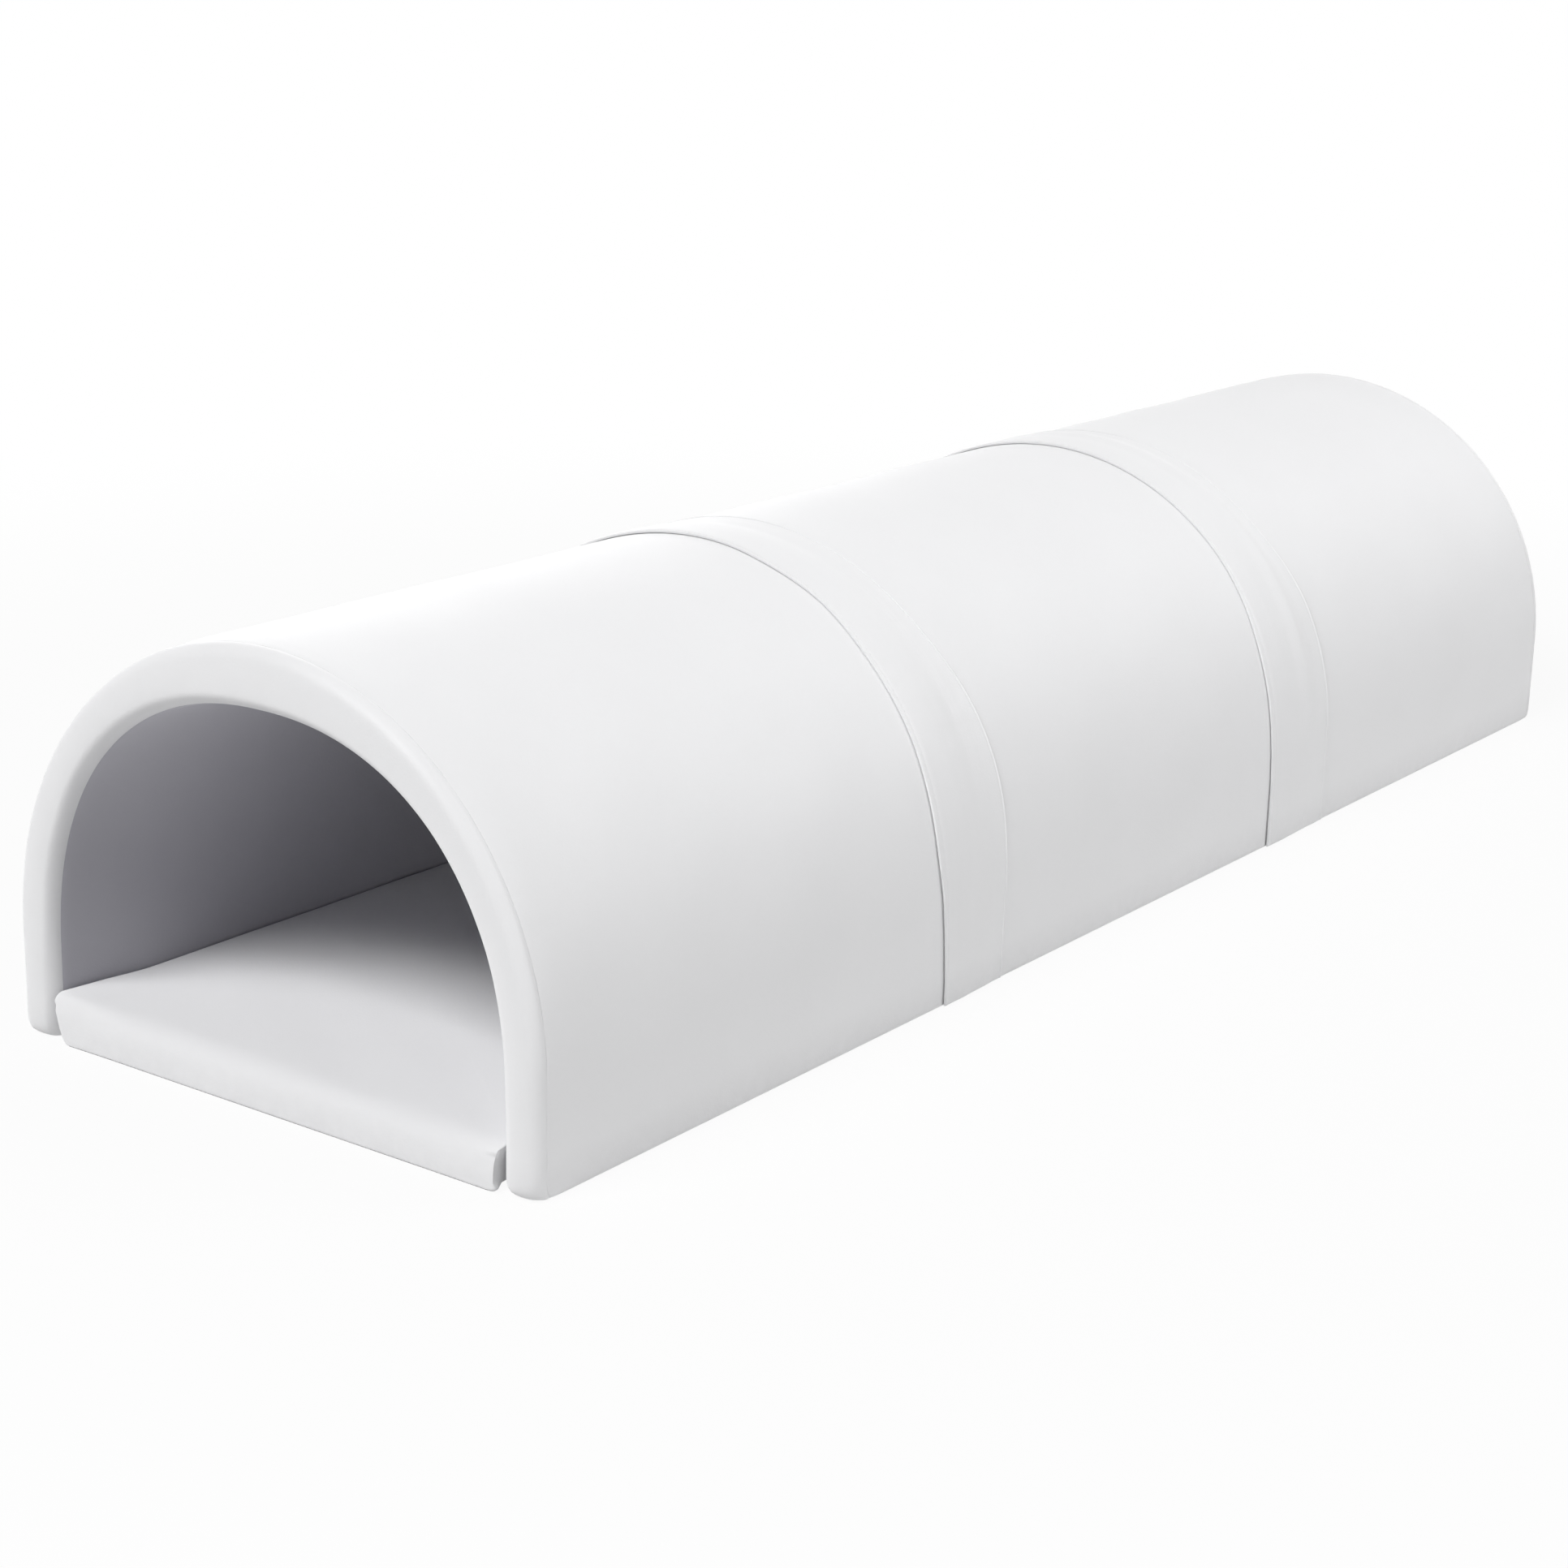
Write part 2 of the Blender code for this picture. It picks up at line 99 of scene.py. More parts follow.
# Places along the arch count this much for a pucker, so that it runs away from its seam
PUCKER_STRETCH = 0.15
FOOT_TURN = 0.004
FOOT_ROUND = 0.020
FOOT_DRAW_SHARE = 0.7
FOOT_DRAW_REACH = 0.045
FOAM_INSET = 0.0022
FOAM_SEAM_GAP = 0.001

# Fineness of the meshes
LEG_STEPS = 14
TOP_STEPS = 108
ALONG_STEPS = 88
CORNER_STEPS = 16
SEAM_STEPS = 3
FACE_STEPS = 11
SHARP_ANGLE = math.radians(50)

# Sizes that follow from the ones above
INNER_LEG = HEIGHT - WIDTH / 2 - INNER_LEG_DROP
OUTLINES = {
    "outer": (WIDTH / 2, HEIGHT - WIDTH / 2, WIDTH / 2, OUTER_ROUNDNESS, -1),
    "inner": (WIDTH / 2 - LEG_THICKNESS, INNER_LEG, HEIGHT - CROWN_THICKNESS - INNER_LEG, INNER_ROUNDNESS, 1),
}
NEAR = -MODULE_LENGTH / 2 + JOINT_GAP / 2
FAR = MODULE_LENGTH / 2 - JOINT_GAP / 2
MAT_HALF_WIDTH = WIDTH / 2 - LEG_THICKNESS - MAT_SIDE_GAP
MAT_HALF_LENGTH = MODULE_LENGTH / 2 - JOINT_GAP / 2


# Numbers and meshes


def millimetres(*rows):
    """A table of sizes written in millimetres, in metres."""
    return np.array(rows) / 1000


def smooth_step(value):
    """Eases from 0 to 1 as the value goes from 0 to 1."""
    value = np.clip(value, 0.0, 1.0)
    return value * value * (3 - 2 * value)


def bell(value, width):
    """A soft bump of unit height around zero."""
    return np.exp(-((value / width) ** 2))


def mesh_from(name, points, faces):
    """A smooth-shaded mesh whose closed surface faces outwards."""
    points = np.asarray(points, float).reshape(-1, 3)
    faces = np.asarray(faces)
    corners = points[faces]
    fan = [np.cross(corners[:, k], corners[:, k + 1]) for k in range(1, faces.shape[1] - 1)]
    if sum((corners[:, 0] * part).sum() for part in fan) < 0:
        faces = faces[:, ::-1]
    mesh = bpy.data.meshes.new(name)
    mesh.from_pydata(points.tolist(), [], faces.tolist())
    mesh.shade_smooth()
    mesh.set_sharp_from_angle(angle=SHARP_ANGLE)
    return mesh


def quads_between(rings):
    """The faces between neighbouring closed rings of point numbers."""
    following = np.roll(rings, -1, axis=-1)
    sides = [rings[..., :-1, :], following[..., :-1, :], following[..., 1:, :], rings[..., 1:, :]]
    return np.stack(sides, axis=-1).reshape(-1, 4)


def lofted(name, points):
    """A closed mesh through points[station, place round the profile], each end closed by quads."""
    rows, count = points.shape[:2]
    index = np.arange(rows * count).reshape(rows, count)
    out = np.arange(count // 2 - 1)
    back = count - 1 - out
    first = np.stack([index[0, out + 1], index[0, out], index[0, back], index[0, back - 1]], axis=-1)
    last = np.stack([index[-1, out], index[-1, out + 1], index[-1, back - 1], index[-1, back]], axis=-1)
    return mesh_from(name, points, np.concatenate([quads_between(index), first, last]))


def two_sided(out, back):
    """The way round a sheet's profile: out along one side of it and back along the other."""
    return np.concatenate([out, back[:, ::-1]], axis=1)


def place(name, mesh, module, carrier, material, nodes=()):
    """Shows a mesh as a piece that rides on a module's arch or mat and stands for its CAD nodes."""
    piece = bpy.data.objects.new(name, mesh)
    piece.location = (0.0, (MODULES.index(module) - 1) * MODULE_LENGTH, 0.0)
    mesh.materials.append(material)
    bpy.context.scene.collection.objects.link(piece)
    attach(piece, f"{module}_{carrier}")
    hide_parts(*nodes)
    return piece


def place_sheet(node, kind, points, module, material):
    """Shows a sheet of an arch's cover as a piece on its module's arch, in place of its CAD node."""
    piece = place(f"{node}_{kind}", lofted(node, points), module, "arch", material, [node])


# Soft random surfaces


def ripple_field(seed, span, count=14):
    """A soft uneven surface of unit height: ripples of many lengths that run in many directions."""
    draw = np.random.default_rng(seed)
    lengths = draw.uniform(*span, count)
    turns = draw.uniform(0.0, 2 * math.pi, count)
    phases = draw.uniform(0.0, 2 * math.pi, count)

    def height(s, y):
        total = 0.0
        for length, turn, phase in zip(lengths, turns, phases):
            way = s * math.cos(turn) + y * math.sin(turn)
            total = total + np.sin(2 * math.pi * way / length + phase)
        return total / math.sqrt(count / 2)

    return height


def module_fields(seed, kinds, span):
    """A ripple field for each module and kind of face."""
    return {
        (module, kind): ripple_field(seed + 10 * m + k, span)
        for m, module in enumerate(MODULES)
        for k, kind in enumerate(kinds)
    }


FACES = ("outer", "inner")
FOAM_FIELDS = module_fields(0, FACES, UNEVEN_SPAN)
PUCKER_FIELDS = module_fields(100, FACES, PUCKER_SPAN)
RIM_FIELDS = module_fields(200, (False, True), RIM_UNEVEN_SPAN)


# The arch's outline

AT_FACE = np.zeros((1, 1))
LEG_SPACING_POWER = 1.7
# How much of a row's spacing is even, where the rest draws closer together towards both ends
SHEET_EVEN_SHARE = 0.15
FLAP_EVEN_SHARE = 0.4


def arch_stations(foot):
    """Heights up the legs, none on the round top, and angles, from the right foot over the crown."""
    even = np.linspace(0.0, 1.0, LEG_STEPS, endpoint=False)
    leg = foot + (INNER_LEG - foot) * even**LEG_SPACING_POWER
    top = np.linspace(0.0, math.pi, TOP_STEPS + 1)
    heights = np.concatenate([leg, np.full(top.shape, np.nan), leg[::-1]])
    angles = np.concatenate([np.zeros(leg.shape), top, np.full(leg.shape, math.pi)])
    return heights[:, None], angles[:, None]


def face_points(face, depth, stations):
    """Places across and up of a sheet some depth inside the wall, measured square to its face."""
    half_width, leg, rise, roundness, into_wall = OUTLINES[face]
    heights, angles = stations
    across, up = np.cos(angles), np.abs(np.sin(angles))
    reach = ((np.abs(across) / half_width) ** roundness + (up / rise) ** roundness) ** (-1 / roundness)
    x, z = reach * across, reach * up
    slope_x = np.copysign((np.abs(x) / half_width) ** (roundness - 1) / half_width, across)
    slope_z = (z / rise) ** (roundness - 1) / rise
    step = into_wall * depth / np.hypot(slope_x, slope_z)
    on_leg = np.isfinite(heights)
    x = np.where(on_leg, across * (half_width + into_wall * depth), x + slope_x * step)
    z = np.where(on_leg, heights + 0 * depth, leg + z + slope_z * step)
    return x, z


def arc_length(face, stations):
    """How far each station is from the right foot, round the face, and the whole way round."""
    x, z = face_points(face, AT_FACE, stations)
    steps = np.hypot(np.diff(x[:, 0]), np.diff(z[:, 0]))
    s = np.concatenate([[0.0], np.cumsum(steps)])[:, None]
    return s, s[-1, 0]


def foot_turn(face, stations):
    """How far a cover is turned in under the foot at each station."""
    below = np.clip(FOOT_TURN - face_points(face, AT_FACE, stations)[1], 0.0, FOOT_TURN)
    return FOOT_TURN - np.sqrt(FOOT_TURN**2 - below**2)


def drawn_along(y, z):
    """A place along the arch, moved inwards where the foot's soft corner is rounded."""
    below = np.clip(FOOT_ROUND - z, 0.0, FOOT_ROUND)
    draw = FOOT_DRAW_SHARE * (FOOT_ROUND - np.sqrt(FOOT_ROUND**2 - below**2))
    from_near = smooth_step(1.0 - (y - NEAR) / FOOT_DRAW_REACH)
    from_far = smooth_step(1.0 - (FAR - y) / FOOT_DRAW_REACH)
    return y + draw * (from_near - from_far)


def seam_pinch(distance):
    """How far the cover dips at a distance from a sewn seam."""
    return PINCH * bell(distance, PINCH_REACH)


def unevenness(module, face, s, whole, y):
    """How far the cover stands out from an even face, from the foam and from the seams' pull."""
    from_ends = np.minimum(y - NEAR, FAR - y) - SEAM
    from_feet = np.minimum(s, whole - s)
    window = smooth_step(from_ends / UNEVEN_EASE) * smooth_step((from_feet - FEET_EVEN) / UNEVEN_EASE)
    pucker_window = bell(from_ends, PUCKER_REACH) * smooth_step(from_feet / FEET_EASE)
    soft = UNEVENNESS * window * FOAM_FIELDS[module, face](s, y)
    fine = PUCKER * pucker_window * PUCKER_FIELDS[module, face](s, PUCKER_STRETCH * y)
    sag = END_SAG * smooth_step(1.0 - from_ends / END_SAG_REACH) if face == "outer" else 0.0
    return soft + fine - sag


def wall_across(stations):
    """The outer face's places at an end, the way into the wall there, and the wall's thickness."""
    turn = foot_turn("outer", stations)
    outer = np.stack(face_points("outer", turn + END_SAG, stations), axis=-1)
    inner = np.stack(face_points("inner", turn, stations), axis=-1)
    thickness = np.linalg.norm(inner - outer, axis=-1)
    return outer, (inner - outer) / thickness[..., None], thickness


def rim_corners(stations):
    """The rim's outer corner and its curl into the mouth, each across the wall and along the arch."""
    left = smooth_step((stations[1] - LEFT_CURL_TURN) / (math.pi - LEFT_CURL_TURN))
    outer, inner = RIM_CORNERS
    return outer, tuple(size * (1 - (1 - share) * left) for size, share in zip(inner, LEFT_CURL))


def corner_turn(corner):
    """How far round its curve a corner of the rim goes before it meets the face."""
    return np.arctan(corner[1] / corner[0] / RIM_FACE_SLOPE)


def end_crown(corners, thickness):
    """How far the middle of an end's face stands out beyond the face's edges."""
    taken = sum(corner[0] * (1 - np.cos(corner_turn(corner))) for corner in corners)
    return (thickness - taken) * RIM_FACE_SLOPE / 4


def mouth_roll(stations, y):
    """How far the lining curls away into the wall as it comes to the seam at a mouth."""
    corners = rim_corners(stations)
    across, inwards = corners[1]
    crown = end_crown(corners, wall_across(stations)[2])
    centre = crown + inwards * np.sin(corner_turn(corners[1]))
    short = np.clip((centre - np.minimum(y - NEAR, FAR - y)) / inwards, 0.0, 1.0)
    return across * (1 - np.sqrt(1 - short**2))


def sheet_points(module, face, depths, y, stations):
    """Points of columns at given depths and places along the arch, with the cover's softness."""
    s, whole = arc_length(face, stations)
    relief = unevenness(module, face, s, whole, y)
    from_seam = np.minimum(np.abs(y - NEAR - SEAM), np.abs(FAR - SEAM - y))
    depth = depths - relief + seam_pinch(from_seam) + foot_turn(face, stations)
    if face == "inner":
        depth = depth + mouth_roll(stations, y)
    x, z = face_points(face, depth, stations)
    return np.stack([x, drawn_along(y + 0 * x, z), z], axis=-1)


def along(start, end, steps=ALONG_STEPS, even_share=SHEET_EVEN_SHARE):
    """Places along the arch, closer together towards both ends."""
    even = np.linspace(-1.0, 1.0, steps + 1)
    spaced = even_share * even + (1 - even_share) * np.sin(even * math.pi / 2)
    return (start + end) / 2 + (end - start) / 2 * spaced


# Pieces of an arch


def make_cover_sheet(module, face, name, material):
    """The sheet over one face of the arch, from foot to foot and from seam to seam."""
    y = along(NEAR + SEAM + GAP, FAR - SEAM - GAP)
    columns = two_sided(y[None, :], y[None, :])
    depths = np.repeat([[0.0, SKIN]], y.size, axis=1)
    stations = arch_stations(COVER_LIFT)
    points = sheet_points(module, face, depths, columns, stations)
    place_sheet(name, "sheet", points, module, material)


def corner_curve(corner, crown, flat_steps):
    """A soft corner of an end, from its seam to the face: how far across the wall, and how far in."""
    centre = crown + corner[1] * np.sin(corner_turn(corner))
    first = np.arcsin(np.clip((centre - SEAM) / corner[1], 0.0, 1.0))
    share = np.linspace(0.0, 1.0, CORNER_STEPS + 1)[None, :]
    turns = first + (corner_turn(corner) - first) * share
    across, inwards = corner[0] * (1 - np.cos(turns)), centre - corner[1] * np.sin(turns)
    flat = np.linspace(0.0, 1.0, flat_steps, endpoint=False)[None, :]
    across = np.concatenate([0 * centre * flat, across], axis=1)
    return across, np.concatenate([SEAM + (centre - SEAM) * flat, inwards], axis=1)


def rim_profile(module, depth, stations, far):
    """The soft end of the wall at some depth below the cover, from the outer seam to the inner one.

    It has a well-rounded outer corner, a slightly crowned face, and a wide curl into the mouth.
    """
    outer, into_wall, thickness = wall_across(stations)
    corners = rim_corners(stations)
    crown = end_crown(corners, thickness)
    outer_a, outer_b = corner_curve(corners[0], crown, SEAM_STEPS)
    inner_a, inner_b = corner_curve(corners[1], crown, 0)
    first, last = outer_a[:, -1:], thickness - inner_a[:, -1:]
    share = np.linspace(0.0, 1.0, FACE_STEPS + 2)[None, 1:-1]
    face_a, face_b = first + (last - first) * share, crown * (1 - 2 * share) ** 2
    a = np.concatenate([outer_a, face_a, (thickness - inner_a)[:, ::-1]], axis=1)
    b = np.concatenate([outer_b, face_b, inner_b[:, ::-1]], axis=1)
    s, whole = arc_length("outer", stations)
    off_feet = smooth_step(np.minimum(s, whole - s) / FEET_EASE)
    swell = RIM_UNEVENNESS * (1 + np.clip(RIM_FIELDS[module, far](s, RIM_STRETCH * a), -1, 1))
    b = b + swell * np.sin(math.pi * np.clip(a / thickness, 0, 1)) * off_feet
    slope_a, slope_b = np.gradient(a, axis=1), np.gradient(b, axis=1)
    length = np.hypot(slope_a, slope_b)
    outer_half = a < thickness / 2
    a = a - slope_b / length * depth
    b = b + slope_a / length * depth
    a = a + np.where(outer_half, 1, -1) * seam_pinch(SEAM - b)
    x = outer[..., 0] + into_wall[..., 0] * a
    # No corner comes below the lowest station
    z = np.maximum(outer[..., 1] + into_wall[..., 1] * a, np.nanmin(stations[0]))
    y = FAR - b if far else NEAR + b
    return np.stack([x, drawn_along(y, z), z], axis=-1)


def make_end_panel(module, end, material):
    """The arch-shaped panel wrapped softly round one end of the foam."""
    name = f"{module}_{end}_end_panel"
    stations = arch_stations(COVER_LIFT)
    points = two_sided(*(rim_profile(module, depth, stations, end == "far") for depth in (0.0, SKIN)))
    place_sheet(name, "sheet", points, module, material)


def foam_points(module, depth, stations):
    """The foam's section along the arch: out along the back, round both soft ends and back inside."""
    y = along(NEAR + SEAM + FOAM_SEAM_GAP, FAR - SEAM - FOAM_SEAM_GAP, ALONG_STEPS // 2)[None, :]
    outer, inner = (sheet_points(module, face, depth, y, stations) for face in FACES)
    near, far = (rim_profile(module, depth, stations, end) for end in (False, True))
    half = near.shape[1] // 2
    parts = [near[:, half::-1], outer, far, inner[:, ::-1], near[:, :half:-1]]
    points = np.concatenate(parts, axis=1)
    return np.roll(points, 1, axis=1)


def make_foam_core(module, material):
    """The shaped foam inside the cover."""
    mesh = lofted("foam_core", foam_points(module, FOAM_INSET, arch_stations(SOLE + 2 * GAP)))
    nodes = [f"{module}_arch_foam"]
    piece = place(f"{module}_foam_core", mesh, module, "arch", material, nodes)


def make_sole(module, side, material):
    """The hard-wearing sheet under one foot."""
    angle = 0.0 if side == "right" else math.pi
    stations = (np.array([[0.0], [SOLE]]), np.array([[angle], [angle]]))
    name = f"{module}_{side}_sole"
    points = foam_points(module, FOAM_INSET, stations)
    points[..., 2] = stations[0]
    place(f"{name}_sheet", lofted(name, points), module, "arch", material, [name])


def neighbour_relief(module, s, whole, y):
    """The cover's unevenness under a flap: the arch in front's before the joint, its own after it."""
    before = MODULES[MODULES.index(module) - 1]
    joint = -MODULE_LENGTH / 2
    mine = unevenness(module, "outer", s, whole, np.maximum(y, joint))
    other = unevenness(before, "outer", s, whole, np.minimum(y, joint) + MODULE_LENGTH)
    return np.where(y > joint, mine, other)


# How far each flap's underside stands off the cover at places along it, measured from the joint.
# The middle one sinks into the joint. The rear one is taut over it.
FLAP_COURSES = {
    "middle": millimetres(
        (-88, 1.7), (-76.5, 2.9), (-26, 2.9), (4, -0.1), (14, 0), (26, 0.3), (64, 0.3),
    ),
    "rear": millimetres(
        (-88, 1.6), (-76.5, 2.9), (-26, 2.9), (-13, 2.5), (11, 3.6), (39, 0.5), (64, 0.3),
    ),
}
# At the feet both run evenly down to their root, the middle one from higher up
FLAP_FOOT_COURSE = millimetres(
    (-88, 2.2), (-76.5, 2.9), (-20, 2.9), (56, 0.4), (64, 0.3),
)
FLAP_FOOT_REACH = {"middle": 0.450, "rear": 0.140}
# How far each flap's free edge strays along the tunnel at places up from the right foot
FLAP_EDGES = {
    "middle": millimetres(
        (0, 6.5), (40, 6.2), (110, 0), (180, -8), (250, -6), (330, -1.5), (440, 0), (520, 4.5),
        (600, 3), (700, 5), (1000, 0), (1500, -3),
    ),
    "rear": millimetres(
        (0, -5), (90, -4), (160, -8), (270, -6), (340, 1), (400, 5.5), (470, 6.8), (620, 6.8),
        (900, 2), (1500, -3),
    ),
}
# How far beyond the joint each flap's root is sewn down, at places up from the right foot
FLAP_ROOTS = {
    "middle": millimetres(
        (0, 42), (80, 45), (160, 47), (230, 51), (300, 50), (360, 45), (430, 37), (520, 36), (700, 40),
        (1000, 44), (1500, 44),
    ),
    "rear": millimetres(
        (0, 71), (100, 72), (200, 73), (300, 72), (360, 65), (420, 56), (520, 52), (700, 56),
        (1000, 60), (1500, 62),
    ),
}
FLAP_MARGIN = 0.0115
FLAP_EDGE_ROUND = 0.0004
FLAP_CURL = 0.0008
FLAP_CURL_REACH = 0.020
FLAP_STITCH_MARGIN = 0.0055
FLAP_CURL_FOOT_REACH = 0.42
FLAP_STEPS = 94
FLAP_ROUND_STEPS = 4
FLAP_ROUND_START = 0.15
FLAP_ROUND_REACH = 0.0015
# A flap is never thinner than a seventh of its thickness: the square root of this
FLAP_THINNEST = 0.02
COURSE_FINENESS = 8
# Each hem swells by a share of this, at a place in from its edge and over a width
HEM_SWELL = 0.0007
ROOT_HEM = (1.2, 0.0032, 0.0026)
FREE_HEM = (0.1, 0.0025, 0.0018)
# The root is pared thin over its last centimetre, so that it lies almost flush
FLAP_SKIVING = 0.20
FLAP_SKIVED_WIDTH = 0.010
# The row of stitches sinks in, less so at the free edge
STITCH_DIP = 0.0006
STITCH_DIP_WIDTH = 0.0013
FREE_STITCH_SHARE = 0.6
# The free edge is folded under once
FOLD_WIDTH = 0.0105
FOLD_DEPTH = 0.0009
FOLD_EASE = 0.0015


def course(points, fineness):
    """A smooth line through a few points, cut finer."""
    fine = np.linspace(0, len(points) - 1, (len(points) - 1) * fineness + 1)
    padded = np.concatenate([2 * points[:1] - points[1:2], points, 2 * points[-1:] - points[-2:-1]])
    k = np.minimum(fine.astype(int), len(points) - 2)
    u = (fine - k)[:, None]
    p0, p1, p2, p3 = (padded[k + n] for n in range(4))
    square, cube = 2 * p0 - 5 * p1 + 4 * p2 - p3, 3 * p1 - p0 - 3 * p2 + p3
    return 0.5 * (2 * p1 + (p2 - p0) * u + square * u**2 + cube * u**3)


def round_course(points, s):
    """A smooth line's value at places round the arch."""
    return np.interp(s, *course(points, COURSE_FINENESS).T)


def flap_height(module, a, s, whole):
    """The flap's underside over the cover: free at its edge, over strips and joint, then sewn down."""
    height = 0.0 * a
    flap_course = FLAP_COURSES[module]
    for (start, low), (end, high) in zip(flap_course, flap_course[1:]):
        share = smooth_step((a - start) / (end - start))
        height = np.where((a >= start) & (a <= end), low + (high - low) * share, height)
    from_foot = np.minimum(s, whole - s)
    even = np.interp(a, *FLAP_FOOT_COURSE.T)
    at_foot = smooth_step(1.0 - from_foot / FLAP_FOOT_REACH[module])
    height = height + (even - height) * at_foot
    curl = FLAP_CURL * smooth_step(1.0 - from_foot / FLAP_CURL_FOOT_REACH)
    free = smooth_step((-FLAP_OVERLAP + FLAP_CURL_REACH - a) / FLAP_CURL_REACH)
    return height + curl * free


def flap_surface(module, a, s, whole):
    """Where a flap lies at places across it: along the arch, and its underside's and top's heights."""
    from_edge = np.minimum(a + FLAP_OVERLAP, FLAP_ROOT - a)
    short = 1 - np.clip(from_edge / FLAP_EDGE_ROUND, 0, 1)
    rounding = np.sqrt(np.clip(1 - short**2, FLAP_THINNEST, 1.0))
    off_edge = np.clip((FLAP_MARGIN - FLAP_OVERLAP - a) / FLAP_MARGIN, 0.0, 1.0)
    shift = round_course(FLAP_EDGES[module], s) * off_edge
    reach = round_course(FLAP_ROOTS[module], s) / FLAP_ROOT
    y = np.where(a > 0, a * reach, a) + shift - MODULE_LENGTH / 2
    root, free = (share * bell(from_edge - at, width) for share, at, width in (ROOT_HEM, FREE_HEM))
    hems = np.where(a > 0, root, free) * HEM_SWELL
    folded = FOLD_DEPTH * smooth_step((FOLD_WIDTH - FLAP_OVERLAP - a) / FOLD_EASE)
    dip = STITCH_DIP * np.where(a > 0, 1.0, FREE_STITCH_SHARE)
    stitched = bell(from_edge - FLAP_STITCH_MARGIN, STITCH_DIP_WIDTH) * dip
    skived = 1 - FLAP_SKIVING * smooth_step((a - FLAP_ROOT + FLAP_SKIVED_WIDTH) / FLAP_SKIVED_WIDTH)
    thickness = FLAP_THICKNESS * rounding * skived
    relief = neighbour_relief(module, s, whole, y)
    low = flap_height(module, a, s, whole) + relief + (FLAP_THICKNESS * skived - thickness) / 2
    return y, low - folded, low + thickness + hems - stitched


def over_the_back(stations, y, heights):
    """Points at places along the arch over its back, a set for each of some heights."""
    sets = []
    for height in heights:
        x, z = face_points("outer", foot_turn("outer", stations) - height, stations)
        sets.append(np.stack([x, y + 0 * x, z], axis=-1))
    return sets


def make_flap(module, material):
    """The band over the joint, free at its near edge and sewn down at its root."""
    stations = arch_stations(FLAP_LIFT)
    s, whole = arc_length("outer", stations)
    turns = np.linspace(FLAP_ROUND_START, 1.0, FLAP_ROUND_STEPS) * math.pi / 2
    edge = FLAP_EDGE_ROUND * (1 - np.cos(turns))
    ends = FLAP_ROUND_REACH - FLAP_OVERLAP, FLAP_ROOT - FLAP_ROUND_REACH
    middle = along(*ends, FLAP_STEPS, FLAP_EVEN_SHARE)
    a = np.concatenate([-FLAP_OVERLAP + edge, middle, (FLAP_ROOT - edge)[::-1]])[None, :]
    y, low, high = flap_surface(module, a, s, whole)
    points = two_sided(*over_the_back(stations, y, (high, low)))
    name, slot, under = f"{module}_flap", "white_leatherette", "outer_skin_sheet"
    place_sheet(name, "sheet", points, module, material)


def strip_place(kind):
    """Where a strip begins along its arch, and how high its underside is over the cover."""
    if kind == "loop":
        return MODULE_LENGTH / 2 - FLAP_OVERLAP + STRIP_EDGE, GAP
    return -MODULE_LENGTH / 2 - FLAP_OVERLAP + STRIP_EDGE, 2 * GAP + STRIP_THICKNESS


def strip_relief(module, kind, s, whole, y):
    """The unevenness of the cover that a strip lies on."""
    if kind == "loop":
        return unevenness(module, "outer", s, whole, y)
    return neighbour_relief(module, s, whole, y)


def make_strip(module, kind, material):
    """The loop strip on the cover's far end, or the hook strip under the flap."""
    stations = arch_stations(2 * FLAP_LIFT)
    s, whole = arc_length("outer", stations)
    start, low = strip_place(kind)
    y = np.linspace(start, start + STRIP_WIDTH, STRIP_STEPS)[None, :]
    low = low + strip_relief(module, kind, s, whole, y)
    points = two_sided(*over_the_back(stations, y, (low + STRIP_THICKNESS, low)))
    name, slot, flat = f"{module}_{kind}_strip", "hook_and_loop_tape", (whole, STRIP_WIDTH)
    place_sheet(name, "tape", points, module, material)


# Stitches

STITCH_START = 0.008
STITCH_SPACING = 0.0045
STITCH_LENGTH = 0.0030
STITCH_RADIUS = 0.00032
STITCH_SUNK = 0.0001
NORMAL_REACH = 0.001
# A stitch or a zip's tooth is a bead of six sides, thinner towards its ends
BEAD_SIDES = 6
BEAD_PLACES = np.array([-1.0, -0.86, -0.5, 0.5, 0.86, 1.0])
BEAD_SWELL = np.array([0.25, 0.75, 1.0, 1.0, 0.75, 0.25])
BEAD_CAP = np.array([(3, 2, 1, 0), (0, 5, 4, 3)])
STRIP_STITCH_MARGIN = 0.0025


def stitch_row(name, centres, directions, normals, length=STITCH_LENGTH, radius=STITCH_RADIUS):
    """A row of separate stitches, each a small rounded bead of thread laid along the seam."""
    turn = np.linspace(0, 2 * math.pi, BEAD_SIDES, endpoint=False)[:, None, None]
    ring = np.cos(turn) * np.cross(directions, normals) + np.sin(turn) * normals
    places, swell = (row[:, None, None, None] for row in (BEAD_PLACES, BEAD_SWELL))
    points = centres + places * length / 2 * directions + swell * radius * ring
    count = len(centres)
    index = np.arange(count * BEAD_PLACES.size * BEAD_SIDES).reshape(count, BEAD_PLACES.size, BEAD_SIDES)
    near = index[:, 0][:, BEAD_CAP].reshape(-1, 4)
    far = index[:, -1][:, BEAD_CAP[:, ::-1]].reshape(-1, 4)
    faces = np.concatenate([quads_between(index), near, far])
    return mesh_from(name, points.transpose(2, 0, 1, 3), faces)


def even_places(line, above, spacing):
    """Evenly spaced places on a line of points, their directions, and normals to a line above."""
    s = np.concatenate([[0.0], np.cumsum(np.linalg.norm(np.diff(line, axis=0), axis=1))])
    at = np.arange(spacing / 2, s[-1], spacing)

    def pick(values):
        return np.stack([np.interp(at, s, values[:, k]) for k in range(3)], axis=-1)

    normals, directions = pick(above - line), pick(np.gradient(line, axis=0))
    normals /= np.linalg.norm(normals, axis=1)[:, None]
    directions /= np.linalg.norm(directions, axis=1)[:, None]
    return pick(line), directions, normals


